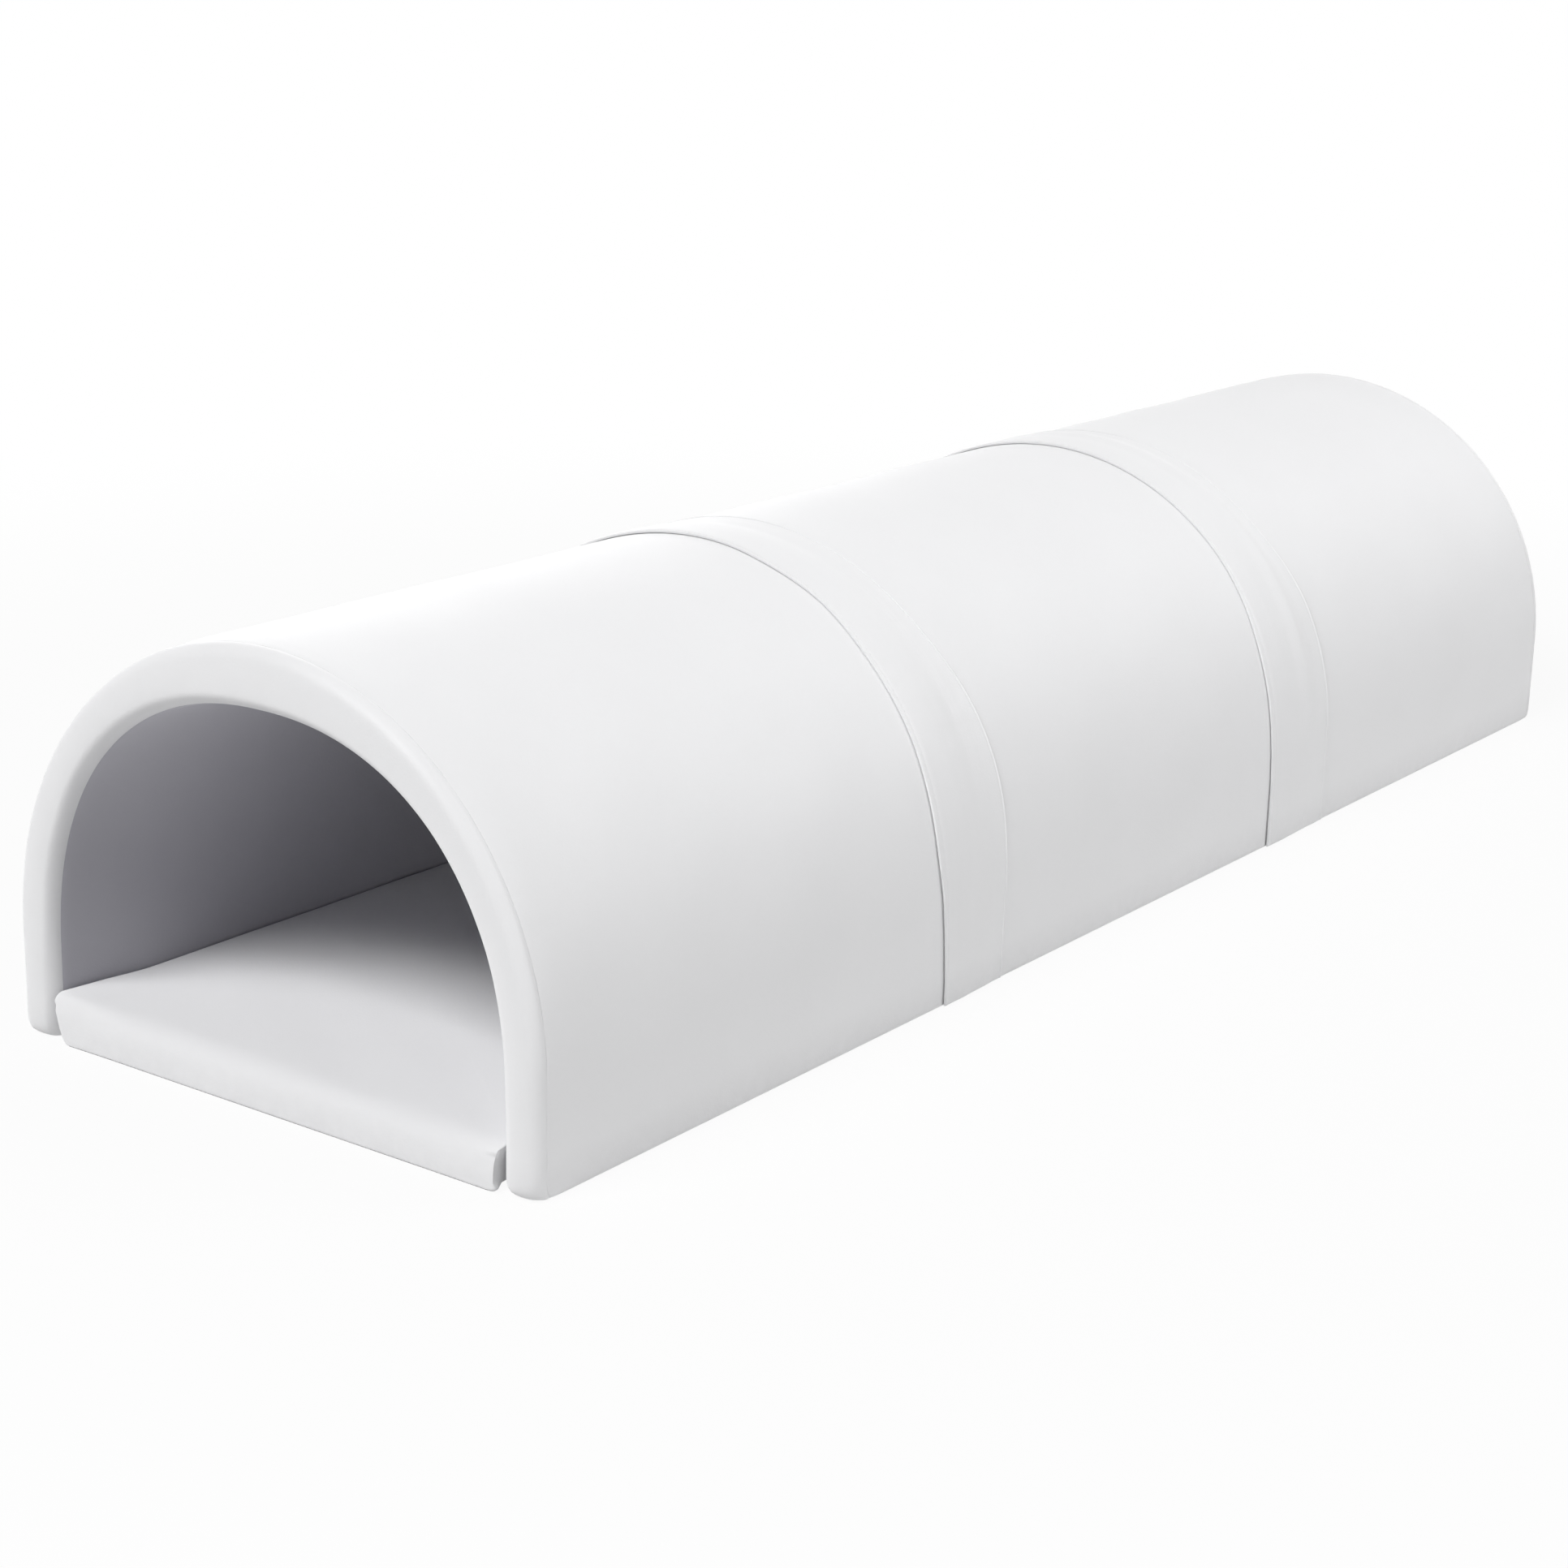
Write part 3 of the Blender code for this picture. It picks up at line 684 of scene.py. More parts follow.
def round_the_arch(y, height):
    """A line round the back at a place along the arch and a height, and a line just above it."""
    stations = arch_stations(STITCH_START)
    return [row[:, 0] for row in over_the_back(stations, y, (height, height + NORMAL_REACH))]


def stitch_places():
    """How far the stitches' stations are from the right foot, and the whole way round."""
    s, whole = arc_length("outer", arch_stations(STITCH_START))
    return s + STITCH_START, whole + 2 * STITCH_START


def stitch_flap(module, thread):
    """The stitch rows along a flap's free hem and along its sewn root."""
    for part, a in (("hem", FLAP_STITCH_MARGIN - FLAP_OVERLAP), ("root", FLAP_ROOT - FLAP_STITCH_MARGIN)):
        y, _, high = flap_surface(module, np.array([[a]]), *stitch_places())
        places = even_places(*round_the_arch(y, high - STITCH_SUNK), STITCH_SPACING)
        place(f"{module}_flap_{part}_stitches", stitch_row("stitches", *places), module, "arch", thread)


def stitch_strip(module, kind, thread):
    """The stitch rows that hold a hook or loop strip along both its edges."""
    start, low = strip_place(kind)
    outside = low + STRIP_THICKNESS if kind == "loop" else low
    rows = []
    for y in (start + STRIP_STITCH_MARGIN, start + STRIP_WIDTH - STRIP_STITCH_MARGIN):
        across = np.array([[y]])
        relief = strip_relief(module, kind, *stitch_places(), across)
        rows.append(even_places(*round_the_arch(across, outside + relief), 2 * STITCH_SPACING))
    mesh = stitch_row("stitches", *(np.concatenate(parts) for parts in zip(*rows)))
    place(f"{module}_{kind}_strip_stitches", mesh, module, "arch", thread)


# Zips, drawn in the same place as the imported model's

# Half of a tape's section, from its outer edge to the middle: how far up from the zip's middle, and how thick
ZIP_HALF_SECTION = millimetres(
    (13, 0.05), (13, 0.6), (11.5, 0.8), (10, 0.6), (4.2, 0.6), (3.4, 1),
)
ZIP_STEPS = 61
TOOTH_SPACING = 0.0022
TOOTH_LENGTH = 0.0048
TOOTH_RADIUS = 0.0007
TOOTH_LIFT = 0.0016
TOOTH_MARGIN = 0.004


def make_zip(module, carrier, x):
    """Two woven tapes with a bead along each inner edge, and the coil's teeth between them."""
    name = f"{module}_{carrier}_zip"
    lower = np.array([(-up, thick) for up, thick in ZIP_HALF_SECTION])
    section = np.concatenate([lower, lower[::-1] * (-1, 1)])
    along_zip = np.linspace(-ZIP_HALF_LENGTH, ZIP_HALF_LENGTH, ZIP_STEPS)[:, None]
    parts = (x - section[:, 1], along_zip, ZIP_HEIGHT + section[:, 0])
    points = np.stack(np.broadcast_arrays(*parts), axis=-1)
    place(f"{name}_tapes", lofted(name, points), module, carrier, ZIP_CLOTH, [name])
    places = np.arange(TOOTH_MARGIN - ZIP_HALF_LENGTH, ZIP_HALF_LENGTH - TOOTH_MARGIN, TOOTH_SPACING)
    centres = np.stack(np.broadcast_arrays(x - TOOTH_LIFT, places, ZIP_HEIGHT), axis=-1)
    upwards, outwards = (np.broadcast_to(way, centres.shape) for way in ((0.0, 0.0, 1.0), (-1.0, 0.0, 0.0)))
    teeth = stitch_row("teeth", centres, upwards, outwards, TOOTH_LENGTH, TOOTH_RADIUS)
    place(f"{name}_coil", teeth, module, carrier, ZIP_COIL)


# Materials


def linear(code):
    """An sRGB hex colour as the linear colour that a shader takes."""
    parts = [int(code[k : k + 2], 16) / 255 for k in (1, 3, 5)]
    return tuple(c / 12.92 if c <= 0.04045 else ((c + 0.055) / 1.055) ** 2.4 for c in parts) + (1.0,)


def add_node(tree, kind, settings=(), links=(), output=0):
    """Adds a shader node with its settings, links its inputs to other nodes, and gives its output."""
    node = tree.nodes.new("ShaderNode" + kind)
    for name, value in dict(settings).items():
        if isinstance(name, int) or name in node.inputs.keys():
            node.inputs[name].default_value = value
        else:
            setattr(node, name, value)
    for name, source in dict(links).items():
        tree.links.new(source, node.inputs[name])
    return node.outputs[output] if len(node.outputs) else node


def emptied(owner):
    """Clears the nodes of a material or of the world, and gives the way to add new ones."""
    owner.use_nodes = True
    owner.node_tree.nodes.clear()
    return partial(add_node, owner.node_tree)


def new_material(name):
    """A material, the way to add its nodes, and the link that lays a pattern in the piece's own axes."""
    material = bpy.data.materials.new(name)
    add = emptied(material)
    return material, add, {"Vector": add("TexCoord", output="Object")}


# The part of a noise's range that a gloss is spread over
UNEVEN = {"From Min": 0.3, "From Max": 0.7}


def per_metre(spacing):
    """The scale at which a texture repeats once in so many millimetres."""
    return 1000.0 / spacing


def wave_scale(spacing):
    """The scale at which a wave texture's bands come once in so many millimetres."""
    return math.pi / 10 * per_metre(spacing)


def between(first=None, second=None):
    """Settings for a mix of two colours, either of which may come from a node instead."""
    ends = {6: first, 7: second}
    return {"data_type": "RGBA"} | {end: linear(code) for end, code in ends.items() if code}


def show(add, finish, looks):
    """Ends a material: the shader that its colour, gloss and relief go into, shown on the piece."""
    shader = add("BsdfPrincipled", finish, looks)
    add("OutputMaterial", links={"Surface": shader})


def embossed_leatherette(name, light, dark, lacquer):
    """PVC-coated cloth, calendered and embossed with a fine pebble grain, then lacquered.

    It reads as a satin white skin, a touch uneven in tone, with a soft gloss at grazing angles. Down at
    the floor it turns a little greyer and duller in patches.
    """
    material, add, laid = new_material(name)
    cloud = add("TexNoise", {"Scale": per_metre(180), "Detail": 3.0}, laid)
    patch_noise = add("TexNoise", {"Scale": per_metre(14), "Detail": 4.0}, laid)
    height = add("SeparateXYZ", {}, laid, "Z")
    # Greyer and duller in patches over the lowest few centimetres, darker towards the floor
    low = add("MapRange", {"From Max": 0.045, "To Min": 0.28, "To Max": 0.0}, {"Value": height})
    floor_patches = add("Math", {"operation": "MULTIPLY"}, {0: low, 1: patch_noise})
    tone = add("Mix", between(light, dark), {0: cloud}, 2)
    greyed_near_floor = add("Mix", between(second="#C9C9CA"), {0: floor_patches, 6: tone}, 2)
    satin = add("MapRange", UNEVEN | {"To Min": 0.57, "To Max": 0.64}, {"Value": cloud})
    dull = add("Math", {"operation": "ADD"}, {0: satin, 1: floor_patches})
    # The real grain is about 1 mm. It is drawn at 2.6 mm, so that it shows at all.
    pebbled = {"feature": "SMOOTH_F1", "Scale": per_metre(2.6), "Smoothness": 0.5}
    grain = add("TexVoronoi", pebbled, laid, "Distance")
    fine = add("TexNoise", {"Scale": per_metre(1.6), "Detail": 2.0}, laid)
    soft = add("Bump", {"Strength": 0.25, "Distance": 0.0002}, {"Height": fine})
    pebble = add("Bump", {"Strength": 0.30, "Distance": 0.0003}, {"Height": grain, "Normal": soft})
    skin = {"Diffuse Roughness": 0.9, "IOR": 1.5, "Sheen Weight": 0.05, "Sheen Roughness": 0.5}
    coat = {"Coat Weight": lacquer, "Coat Roughness": 0.55}
    relief = {"Normal": pebble, "Coat Normal": pebble}
    show(add, skin | coat, {"Base Color": greyed_near_floor, "Roughness": dull} | relief)
    return material


def open_cell_foam():
    """Polyether foam, cut from a block: cream and dead matt, pitted where the knife opened its cells."""
    material, add, laid = new_material("cut_open_cell_polyether_foam")
    # Real cells are about 0.6 mm. They are drawn at 2 mm, so that they show at all.
    cells = add("TexVoronoi", {"Scale": per_metre(2.0)}, laid, "Distance")
    pits = add("MapRange", {"From Min": 0.1, "From Max": 0.5}, {"Value": cells})
    cloud = add("TexNoise", {"Scale": per_metre(60), "Detail": 3.0}, laid)
    walls = add("Mix", between("#F3EACB", "#EADFB8"), {0: cloud}, 2)
    tone = add("Mix", between("#C9BC92"), {0: pits, 7: walls}, 2)
    relief = add("Bump", {"Strength": 0.9, "Distance": 0.0008}, {"Height": pits})
    matt = {"Roughness": 0.95, "Specular IOR Level": 0.25}
    show(add, matt, {"Base Color": tone, "Normal": relief})
    return material


def dotted_non_slip_cloth():
    """Plain-woven grey polyester, printed with raised PVC dots: dull cloth with small shinier studs."""
    material, add, laid = new_material("pvc_dotted_non_slip_cloth")
    lattice = {"voronoi_dimensions": "2D", "Scale": per_metre(6.0), "Randomness": 0.0}
    dots = add("TexVoronoi", lattice, laid, "Distance")
    stud = add("MapRange", {"From Min": 0.28, "From Max": 0.20}, {"Value": dots})
    # A real thread is about 0.4 mm wide. It is drawn at 1 mm.
    yarn = {"Scale": wave_scale(1.0), "Distortion": 0.4}
    yarns = [add("TexWave", yarn | {"bands_direction": way}, laid, "Fac") for way in ("X", "Y")]
    weave = add("Math", {"operation": "MULTIPLY"}, dict(enumerate(yarns)))
    cloth = add("Mix", between("#7C7C80", "#9C9CA0"), {0: weave}, 2)
    tone = add("Mix", between(second="#C4C4C6"), {0: stud, 6: cloth}, 2)
    gloss = add("MapRange", {"To Min": 0.9, "To Max": 0.5}, {"Value": stud})
    threads = add("Bump", {"Strength": 0.5, "Distance": 0.0003}, {"Height": weave})
    relief = add("Bump", {"Strength": 1.0, "Distance": 0.0006}, {"Height": stud, "Normal": threads})
    show(add, {}, {"Base Color": tone, "Roughness": gloss, "Normal": relief})
    return material


def napped_tape():
    """Knitted nylon tape with a raised nap of loops or hooks: dull white, downy against the light."""
    material, add, laid = new_material("napped_nylon_hook_and_loop_tape")
    # Real loops are about 0.4 mm. They are drawn at 1.3 mm.
    loops = add("TexVoronoi", {"Scale": per_metre(1.3)}, laid, "Distance")
    fuzz = add("TexNoise", {"Scale": per_metre(4), "Detail": 5.0, "Roughness": 0.7}, laid)
    nap = add("Math", {"operation": "MULTIPLY"}, {0: loops, 1: fuzz})
    share = add("MapRange", {"From Min": 0.05, "From Max": 0.45}, {"Value": nap})
    tone = add("Mix", between("#CECED0", "#F0F0F0"), {0: share}, 2)
    relief = add("Bump", {"Strength": 1.0, "Distance": 0.0008}, {"Height": nap})
    downy = {"Roughness": 0.95, "Sheen Weight": 0.4, "Sheen Roughness": 0.6}
    show(add, downy, {"Base Color": tone, "Normal": relief})
    return material


def zip_cloth():
    """Polyester zip tape, woven in a close twill: off white, with fine slanting ribs."""
    material, add, laid = new_material("twill_woven_polyester_zip_tape")
    slant = add("Mapping", {"Rotation": (math.radians(35), 0.0, 0.0)}, laid)
    rib = {"bands_direction": "Y", "Scale": wave_scale(1.2)}
    row = {"bands_direction": "Z", "Scale": wave_scale(1.6)}
    ribs = add("TexWave", rib, {"Vector": slant}, "Fac")
    rows = add("TexWave", row, laid, "Fac")
    weave = add("Math", {"operation": "MULTIPLY"}, {0: ribs, 1: rows})
    tone = add("Mix", between("#D3D3D5", "#EDEDED"), {0: weave}, 2)
    relief = add("Bump", {"Strength": 0.7, "Distance": 0.0003}, {"Height": weave})
    show(add, {"Roughness": 0.85, "Sheen Weight": 0.15}, {"Base Color": tone, "Normal": relief})
    return material


def nylon_coil():
    """Extruded nylon wire, wound and heat set: smooth, milky and a little shiny."""
    material, add, laid = new_material("extruded_nylon_coil")
    cloud = add("TexNoise", {"Scale": per_metre(5), "Detail": 2.0}, laid)
    tone = add("Mix", between("#ECECEC", "#DEDEE0"), {0: cloud}, 2)
    gloss = add("MapRange", {"To Min": 0.28, "To Max": 0.42}, {"Value": cloud})
    show(add, {"IOR": 1.53}, {"Base Color": tone, "Roughness": gloss})
    return material


def plated_zinc():
    """Die-cast zinc, tumbled and nickel plated: bright warm grey, with faint flow marks and fine rubs."""
    material, add, laid = new_material("tumbled_nickel_plated_zinc")
    flow = add("TexNoise", {"Scale": per_metre(6), "Detail": 4.0}, laid)
    drawn = add("Mapping", {"Scale": (1.0, 0.12, 1.0)}, laid)
    patch_noise = add("TexNoise", {"Scale": per_metre(0.8), "Detail": 3.0}, {"Vector": drawn})
    tone = add("Mix", between("#C9C6C0", "#AFACA6"), {0: flow}, 2)
    gloss = add("MapRange", UNEVEN | {"To Min": 0.20, "To Max": 0.38}, {"Value": patch_noise})
    relief = add("Bump", {"Strength": 0.3, "Distance": 0.00005}, {"Height": patch_noise})
    show(add, {"Metallic": 1.0}, {"Base Color": tone, "Roughness": gloss, "Normal": relief})
    return material


def sewing_thread():
    """Bonded polyester thread of two twisted plies: white, with a slanting line between the plies."""
    material, add, laid = new_material("twisted_bonded_polyester_thread")
    plies = add("TexWave", {"bands_direction": "DIAGONAL", "Scale": wave_scale(0.9)}, laid, "Fac")
    tone = add("Mix", between("#D9D9DA", "#F2F2F2"), {0: plies}, 2)
    relief = add("Bump", {"Strength": 0.6, "Distance": 0.0001}, {"Height": plies})
    show(add, {"Roughness": 0.55, "Sheen Weight": 0.1}, {"Base Color": tone, "Normal": relief})
    return material


WHITE_LEATHERETTE = embossed_leatherette("white_embossed_leatherette", "#F0F0F1", "#ECECED", 0.7)
LINING_LEATHERETTE = embossed_leatherette("lining_embossed_leatherette", "#C5C4CB", "#C0BFC6", 0.0)
MAT_LEATHERETTE = embossed_leatherette("mat_embossed_leatherette", "#F4F4F5", "#F0F0F1", 0.0)
FOAM = open_cell_foam()
SOLE_CLOTH = dotted_non_slip_cloth()
TAPE = napped_tape()
ZIP_CLOTH = zip_cloth()
ZIP_COIL = nylon_coil()
ZINC = plated_zinc()
THREAD = sewing_thread()


# Mats

# The mat's side and end, from the underside up to where the flat top begins: how far in from the
# widest place, and how high. Its side swells out to the legs above the zips, and its end is well rounded.
MAT_SIDE = millimetres(
    (13.5, 1.3), (10.6, 4), (8.4, 10), (7.1, 18), (6.7, 26), (5.8, 32), (3.2, 37), (0.9, 40.5),
    (0, 43.5), (1.2, 46.6), (4.2, 48.8), (9.5, 50),
)
MAT_END = millimetres(
    (1.6, 1.3), (0.6, 3.2), (0.1, 8), (0, 15), (0.4, 22.5), (1.5, 29), (3.6, 34.7), (7, 39.6),
    (11.5, 43.5), (16.8, 46.3), (22.8, 48.2), (30, 49.4),
)
MAT_SWELL = 0.0068
MAT_CORNER = 0.007
MAT_UNEVENNESS = 0.0005
MAT_UNEVEN_SPAN = (0.10, 0.30)
MAT_TOP_START = 0.046
MAT_EASE = 0.006
# The top rises from its edge to the crown, at first steeply, round a ridge along the mat's middle
MAT_CROWN_POWER = 2.2
MAT_RIDGE = 0.12
# At its corners the mat tapers down to the floor at the left, and fills the room to the leg at the right.
# There it also flares into the room that the rim's curl leaves, and its ends are less rounded.
MAT_TAPER = {"right": -0.0070, "left": 0.0110}
MAT_TAPER_TOP = 0.042
MAT_TAPER_REACH = 0.036
MAT_SIDE_REACH = 0.030
MAT_FLARE = {"right": 0.0090, "left": 0.0040}
MAT_FLARE_REACH = 0.020
MAT_FLARE_POWER = 1.5
MAT_FLARE_TOP = 0.052
MAT_FLARE_EASE = 0.012
# A mat stays this far in from the legs, and from the arch's zip at the right, so that it slides past them
MAT_CLEARANCE = 0.0007
MAT_ZIP_CLEARANCE = 0.0031
MAT_ZIP_REACH = 0.0215
MAT_EARS = {"right": 0.20, "left": 0.60}
MAT_EARS_WIDTH = 0.085
MAT_EARS_REACH = 0.085
# The front mat's near left corner rides up a little against the leg
MAT_LIFT = 0.0085
MAT_LIFT_WIDTH = 0.110
MAT_LIFT_REACH = 0.150
# Each upright corner has a sewn seam, which pulls the cover in and leaves a small tuck at its top
MAT_SEAM_PULL = 0.0007
MAT_SEAM_WIDTH = 0.0018
MAT_TUCK = 0.0020
MAT_TUCK_PLACE = (0.003, 0.004, 0.0415)
MAT_TUCK_WIDTH = 0.006
MAT_TUCK_HEIGHT = 0.0035
MAT_UPRIGHT_START = 1.6
MAT_CORNER_STEPS = 12
MAT_LONG_STEPS = 46
MAT_CROSS_STEPS = 38
MAT_TOP_RINGS = 22
MAT_FINENESS = 3
MAT_BASE_INSET = 0.0015


def mat_outline(half_width, half_length, corner, height_at_side, height_at_end):
    """A ring round a rounded rectangle, each place as high as the side or the end that it belongs to."""
    turns = np.linspace(0.0, 1.0, MAT_CORNER_STEPS + 1)
    rounds, ends = [], []
    for quarter, (side_x, side_y) in enumerate(((1, 1), (-1, 1), (-1, -1), (1, -1))):
        angles = (quarter + turns) * math.pi / 2
        x = side_x * (half_width - corner) + corner * np.cos(angles)
        y = side_y * (half_length - corner) + corner * np.sin(angles)
        rounds.append(np.stack([x, y], axis=-1))
    points = []
    for quarter in range(4):
        short = quarter in (0, 2)
        steps = MAT_CROSS_STEPS if short else MAT_LONG_STEPS
        share = np.linspace(0.0, 1.0, steps + 1)[1:-1, None]
        following = rounds[(quarter + 1) % 4][:1]
        points += [rounds[quarter], rounds[quarter][-1:] * (1 - share) + following * share]
        ends += [turns if short else 1 - turns, np.full(steps - 1, float(short))]
    blend = smooth_step(np.concatenate(ends))
    z = height_at_side * (1 - blend) + height_at_end * blend
    return np.concatenate([np.concatenate(points), z[:, None]], axis=1)


def mat_rings():
    """Rings of the mat's even cover from the underside up its soft sides and over the crowned top."""
    side, end = course(MAT_SIDE, MAT_FINENESS), course(MAT_END, MAT_FINENESS)
    width, length = MAT_HALF_WIDTH + MAT_SWELL - side[:, 0], MAT_HALF_LENGTH - end[:, 0]
    sizes = zip(width, length, side[:, 1], end[:, 1])
    rings = [mat_outline(across, along_mat, MAT_CORNER, *heights) for across, along_mat, *heights in sizes]
    crown = MAT_THICKNESS + MAT_CROWN
    for left in 1 - np.arange(1, MAT_TOP_RINGS) / MAT_TOP_RINGS:
        half_length = length[-1] * left + MAT_RIDGE * (1 - left)
        heights = (edge + (crown - edge) * (1 - left**MAT_CROWN_POWER) for edge in (side[-1, 1], end[-1, 1]))
        rings.append(mat_outline(width[-1] * left, half_length, MAT_CORNER * left, *heights))
    return np.stack(rings)


def by_side(x, sizes):
    """The right side's size where x is positive, and the left side's elsewhere."""
    return np.where(x > 0, sizes["right"], sizes["left"])


def softened(module, rings):
    """The mat's cover with its uneven top, its ends' ears, tapers and flares, and its sewn corners."""
    x, y, up = np.moveaxis(rings, -1, 0)
    uneven = ripple_field(400 + MODULES.index(module), MAT_UNEVEN_SPAN)(x, y)
    up = up + MAT_UNEVENNESS * uneven * smooth_step((up - MAT_TOP_START) / MAT_EASE)
    from_end = MAT_HALF_LENGTH - np.abs(y)
    past_side = np.abs(x) - MAT_HALF_WIDTH
    ears = by_side(x, MAT_EARS) * smooth_step(1 + past_side / MAT_EARS_WIDTH)
    out = ears * np.clip(from_end, 0, 1) * smooth_step(1 - from_end / MAT_EARS_REACH)
    lift = MAT_LIFT * smooth_step(1 + past_side / MAT_LIFT_WIDTH) * smooth_step(1 - from_end / MAT_LIFT_REACH)
    up = up + lift * ((x < 0) & (y < 0) & (module == MODULES[0])) * np.clip(up / MAT_THICKNESS, 0, 1) ** 2
    from_end = from_end - out
    near_end = smooth_step(1 - from_end / MAT_TAPER_REACH)
    taper = by_side(x, MAT_TAPER) * near_end * np.clip(1 - up / MAT_TAPER_TOP, 0, 1)
    at_end = np.clip(1 - from_end / MAT_FLARE_REACH, 0, 1) ** MAT_FLARE_POWER
    flare = by_side(x, MAT_FLARE) * at_end * smooth_step((MAT_FLARE_TOP - up) / MAT_FLARE_EASE)
    beside_zip = (x > 0) * smooth_step((MAT_ZIP_REACH - np.abs(up - ZIP_HEIGHT)) / MAT_EASE)
    clearance = MAT_CLEARANCE + (MAT_ZIP_CLEARANCE - MAT_CLEARANCE) * beside_zip
    room = WIDTH / 2 - LEG_THICKNESS - clearance
    widened = x + np.sign(x) * smooth_step(1 + past_side / MAT_SIDE_REACH) * (flare - taper)
    across, beyond = past_side - MAT_SWELL, -from_end
    upright = smooth_step((across + beyond) / MAT_EASE + MAT_UPRIGHT_START)
    upright = upright * smooth_step((MAT_TOP_START - up) / MAT_EASE)
    tuck_x, tuck_y, tuck_z = MAT_TUCK_PLACE
    from_tuck = np.hypot(across + tuck_x, beyond + tuck_y)
    drawn_in = MAT_SEAM_PULL * bell(np.abs(across - beyond), MAT_SEAM_WIDTH) * upright
    drawn_in += MAT_TUCK * bell(from_tuck, MAT_TUCK_WIDTH) * bell(up - tuck_z, MAT_TUCK_HEIGHT)
    x = np.clip(widened, -room, room) - np.sign(x) * drawn_in
    y = y + np.sign(y) * (out - drawn_in)
    return np.stack([x, y, up], axis=-1)


def closed_mesh(name, rings):
    """A smooth-shaded mesh through rings from its underside to its top, with a flat face over each."""
    index = np.arange(rings[..., 0].size).reshape(rings.shape[:2])
    mesh = bpy.data.meshes.new(name)
    faces = [*quads_between(index).tolist(), index[0, ::-1].tolist(), index[-1].tolist()]
    mesh.from_pydata(rings.reshape(-1, 3).tolist(), [], faces)
    return mesh


def make_mat(module):
    """The mat's cushion and its underside."""
    rings = softened(module, mat_rings())
    mesh = closed_mesh("mat_cover", rings)
    mesh.shade_smooth()
    nodes = [f"{module}_mat_cover", f"{module}_mat_foam"]
    cover = place(f"{module}_mat_cushion", mesh, module, "mat", MAT_LEATHERETTE, nodes)
    inner = rings[0] - np.sign(rings[0]) * MAT_BASE_INSET
    base = np.stack([inner * (1, 1, 0) + (0, 0, z) for z in (0.0, MAT_BASE)])
    nodes = [f"{module}_mat_base"]
    underside = closed_mesh("mat_base", base)
    place(f"{module}_mat_base_panel", underside, module, "mat", SOLE_CLOTH, nodes)


# Assembly

ARCH_ZIP_X = OUTLINES["inner"][0] - GAP
MAT_ZIP_X = -MAT_HALF_WIDTH - GAP

for module in MODULES:
    make_foam_core(module, FOAM)
    make_cover_sheet(module, "outer", f"{module}_outer_skin", WHITE_LEATHERETTE)
    make_cover_sheet(module, "inner", f"{module}_lining", LINING_LEATHERETTE)
    for end in ("near", "far"):
        make_end_panel(module, end, WHITE_LEATHERETTE)
    for side in ("right", "left"):
        make_sole(module, side, SOLE_CLOTH)
    if module != MODULES[-1]:
        make_strip(module, "loop", TAPE)
    if module != MODULES[0]:
        make_strip(module, "hook", TAPE)
        make_flap(module, WHITE_LEATHERETTE)
        stitch_flap(module, THREAD)
        stitch_strip(module, "hook", THREAD)
    if module != MODULES[-1]:
        stitch_strip(module, "loop", THREAD)
    make_mat(module)
    make_zip(module, "arch", ARCH_ZIP_X)
    make_zip(module, "mat", MAT_ZIP_X)
    for carrier in ("arch", "mat"):
        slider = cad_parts[f"{module}_{carrier}_zip_slider"]
        slider.data.materials.clear()
        slider.data.materials.append(ZINC)


# Camera, at the photograph's angle

LENS = 71.15
SENSOR_WIDTH = 36.0
YAW = math.radians(35.943)
PITCH = math.radians(16.551)
ROLL = math.radians(1.312)
DISTANCE = 4.06917
CENTRE = Vector((0.0, 0.0, 0.32))
FRAME_SHIFT = (-0.17244, -0.22358)
CAMERA_RANGE = 200.0


def towards(azimuth, height):
    """The way out from the tunnel at an azimuth and a height above the floor, both in radians."""
    level = math.cos(height)
    return Vector((math.sin(azimuth) * level, -math.cos(azimuth) * level, math.sin(height)))


back = towards(YAW, PITCH)
level_right = Vector((math.cos(YAW), math.sin(YAW), 0.0))
level_up = back.cross(level_right)
right = math.cos(ROLL) * level_right + math.sin(ROLL) * level_up
up = math.cos(ROLL) * level_up - math.sin(ROLL) * level_right
camera_data = bpy.data.cameras.new("camera")
camera_data.sensor_width = SENSOR_WIDTH
camera_data.lens = LENS
camera_data.clip_end = CAMERA_RANGE
camera = bpy.data.objects.new("camera", camera_data)
turn = Matrix((right, up, back)).transposed().to_4x4()
eye = CENTRE + FRAME_SHIFT[0] * right + FRAME_SHIFT[1] * up + DISTANCE * back
camera.matrix_world = Matrix.Translation(eye) @ turn
bpy.context.scene.collection.objects.link(camera)
bpy.context.scene.camera = camera
bpy.context.scene.view_settings.view_transform = "Standard"


# Studio: floor, world and lamps

FLOOR_HALF_SIZE = 60.0
FLOOR_DROP = 0.0005
# The floor shows this white near the tunnel, and turns plain white between these distances
FLOOR_WHITE = 0.93
WHITENING = (1.3, 3.2)
PURE_WHITE = linear("#FFFFFF")


def white_to_eye(add):
    """Where the surround shows as plain white: to the camera, and in metal and glass."""
    rays = [add("LightPath", output=f"Is {kind} Ray") for kind in ("Camera", "Glossy", "Transmission")]
    direct = add("Math", {"operation": "MAXIMUM"}, {0: rays[0], 1: rays[1]})
    return add("Math", {"operation": "MAXIMUM"}, {0: direct, 1: rays[2]})


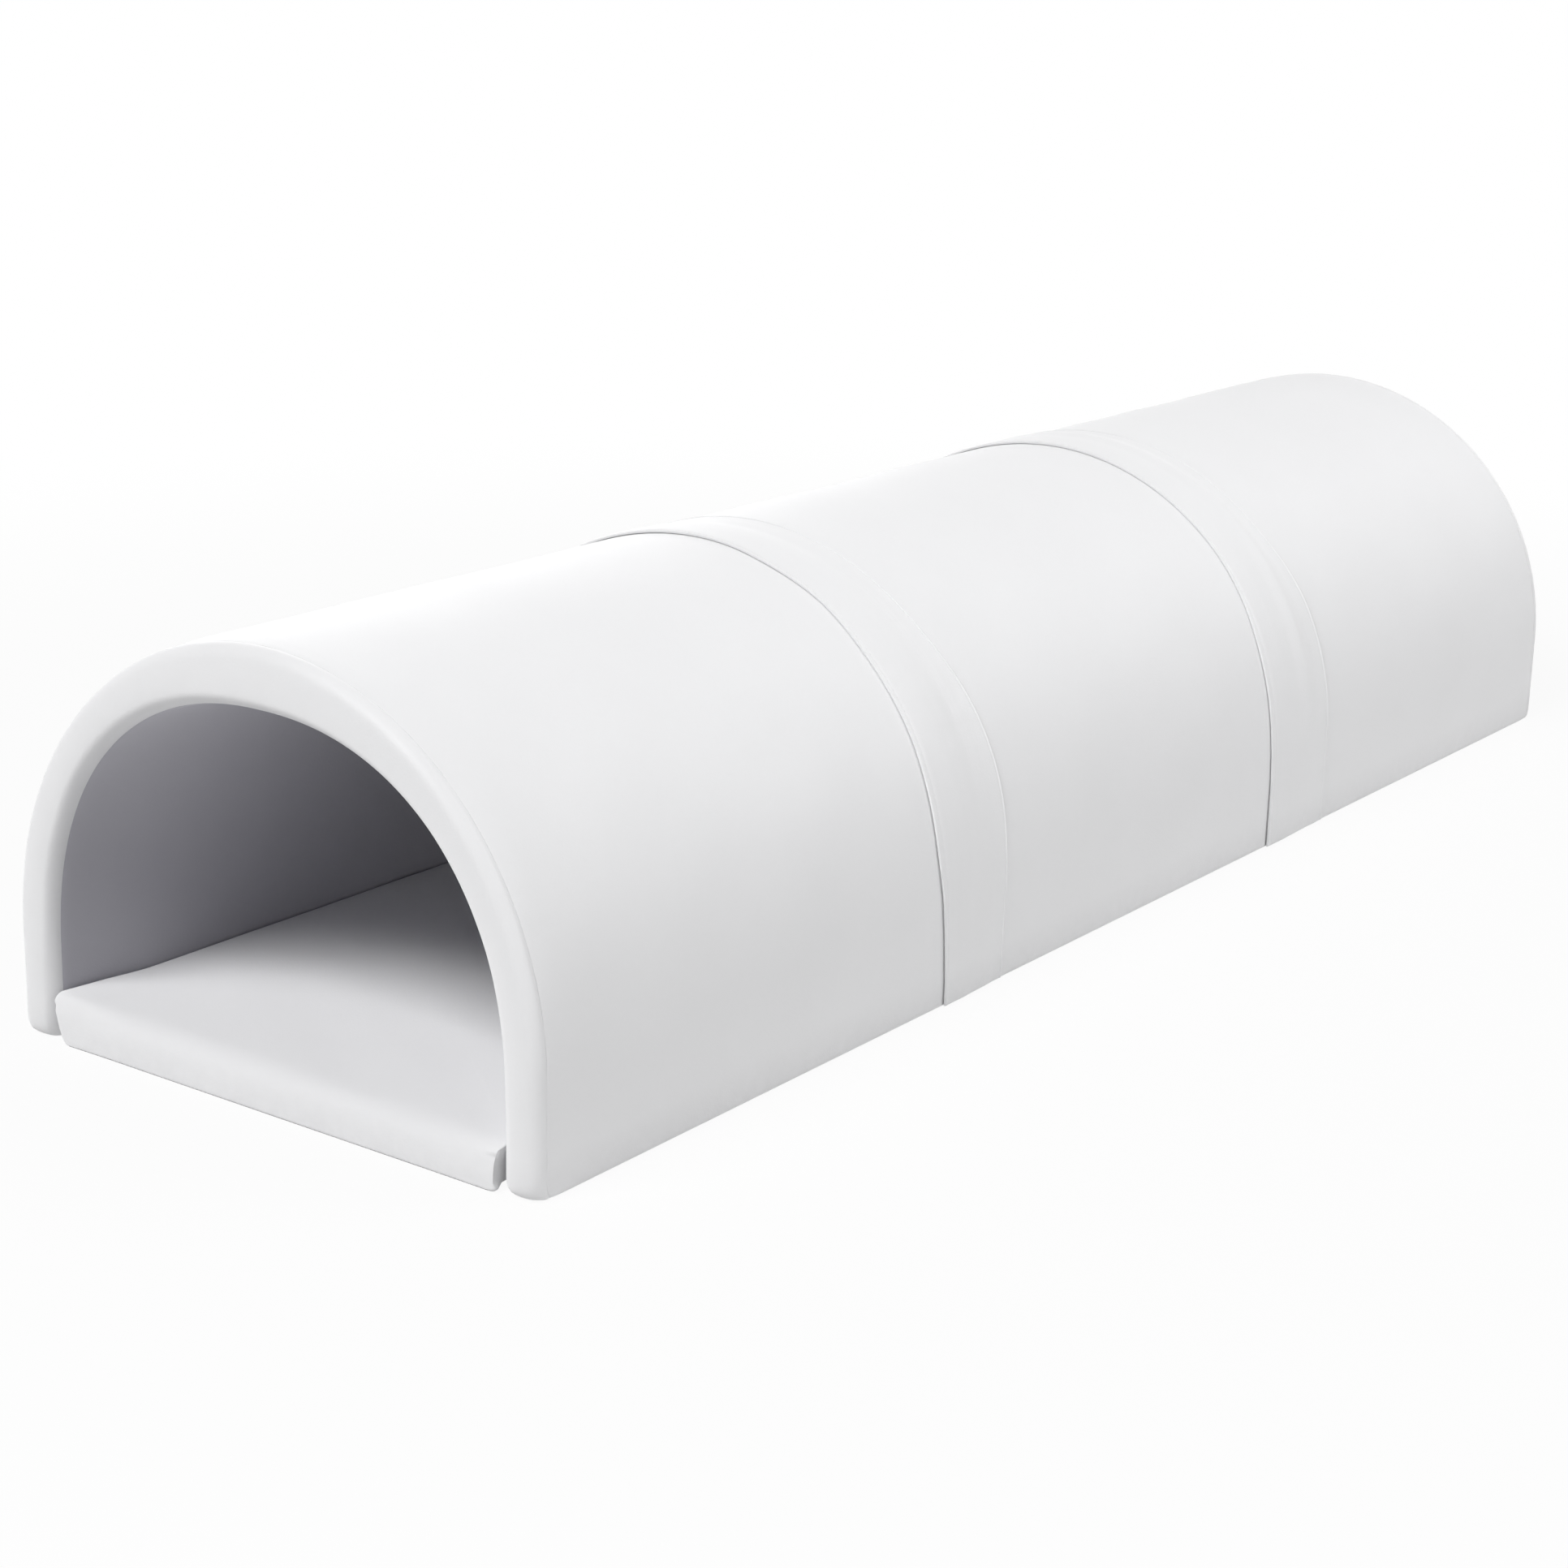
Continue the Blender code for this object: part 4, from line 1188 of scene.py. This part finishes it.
def make_floor():
    """A wide pale floor that shows white in the picture but keeps the tunnel's shadow."""
    mesh = bpy.data.meshes.new("studio_floor")
    corners = [(x * FLOOR_HALF_SIZE, y * FLOOR_HALF_SIZE, 0) for x, y in ((-1, -1), (1, -1), (1, 1), (-1, 1))]
    mesh.from_pydata(corners, [], [(0, 1, 2, 3)])
    floor = bpy.data.objects.new("studio_floor", mesh)
    floor.location.z = -FLOOR_DROP
    material = bpy.data.materials.new("painted_studio_floor")
    add = emptied(material)
    here = add("NewGeometry", output="Position")
    distance = add("VectorMath", {"operation": "LENGTH"}, {0: here}, "Value")
    reach = dict(zip(("From Min", "From Max"), WHITENING))
    far_off = {"interpolation_type": "SMOOTHSTEP", "To Min": FLOOR_WHITE} | reach
    whitening = add("MapRange", far_off, {"Value": distance})
    share = add("Math", {"operation": "MULTIPLY"}, {0: white_to_eye(add), 1: whitening})
    paint = add("BsdfDiffuse", {"Color": linear("#E6E6E6")})
    glow = add("Emission", {"Color": PURE_WHITE, "Strength": 1.0})
    mixed = add("MixShader", {}, {0: share, 1: paint, 2: glow})
    add("OutputMaterial", links={"Surface": mixed})
    mesh.materials.append(material)
    bpy.context.scene.collection.objects.link(floor)


def make_world():
    """A white surround in the picture that casts no light of its own on the object."""
    world = bpy.data.worlds.new("studio")
    add = emptied(world)
    dark, white = (add("Background", {"Color": PURE_WHITE, "Strength": glow}) for glow in (0.0, 1.0))
    mixed = add("MixShader", {}, {0: white_to_eye(add), 1: dark, 2: white})
    add("OutputWorld", links={"Surface": mixed})
    bpy.context.scene.world = world


def make_lamp(name, direction, distance, target, size, power):
    """A large soft box that faces a point, some way off in a direction given as azimuth and height."""
    away = towards(*(math.radians(angle) for angle in direction))
    data = bpy.data.lights.new(name, "AREA")
    data.shape = "RECTANGLE"
    data.size, data.size_y = size
    data.energy = power
    lamp = bpy.data.objects.new(name, data)
    lamp.location = Vector(target) + distance * away
    lamp.rotation_euler = away.to_track_quat("Z", "Y").to_euler()
    bpy.context.scene.collection.objects.link(lamp)


make_floor()
make_world()
make_lamp("key_soft_box", (-5.0, 50.0), 9.0, (0.0, -0.6, 0.1), (5.0, 3.0), 608.0)
make_lamp("low_front_soft_box", (34.0, 4.0), 7.0, (0.0, -0.3, 0.15), (2.0, 0.8), 24.0)
make_lamp("right_soft_box", (84.0, 10.0), 7.0, (0.0, 0.6, 0.1), (3.0, 3.0), 106.0)
make_lamp("right_top_soft_box", (115.0, 40.0), 6.0, (0.0, 0.5, 0.1), (3.0, 3.0), 100.0)
make_lamp("top_soft_box", (0.0, 88.0), 6.0, (0.0, 0.4, 0.1), (3.5, 3.5), 31.0)
make_lamp("rear_left_soft_box", (235.0, 18.0), 7.0, (0.0, 0.0, 0.2), (4.0, 2.5), 62.0)
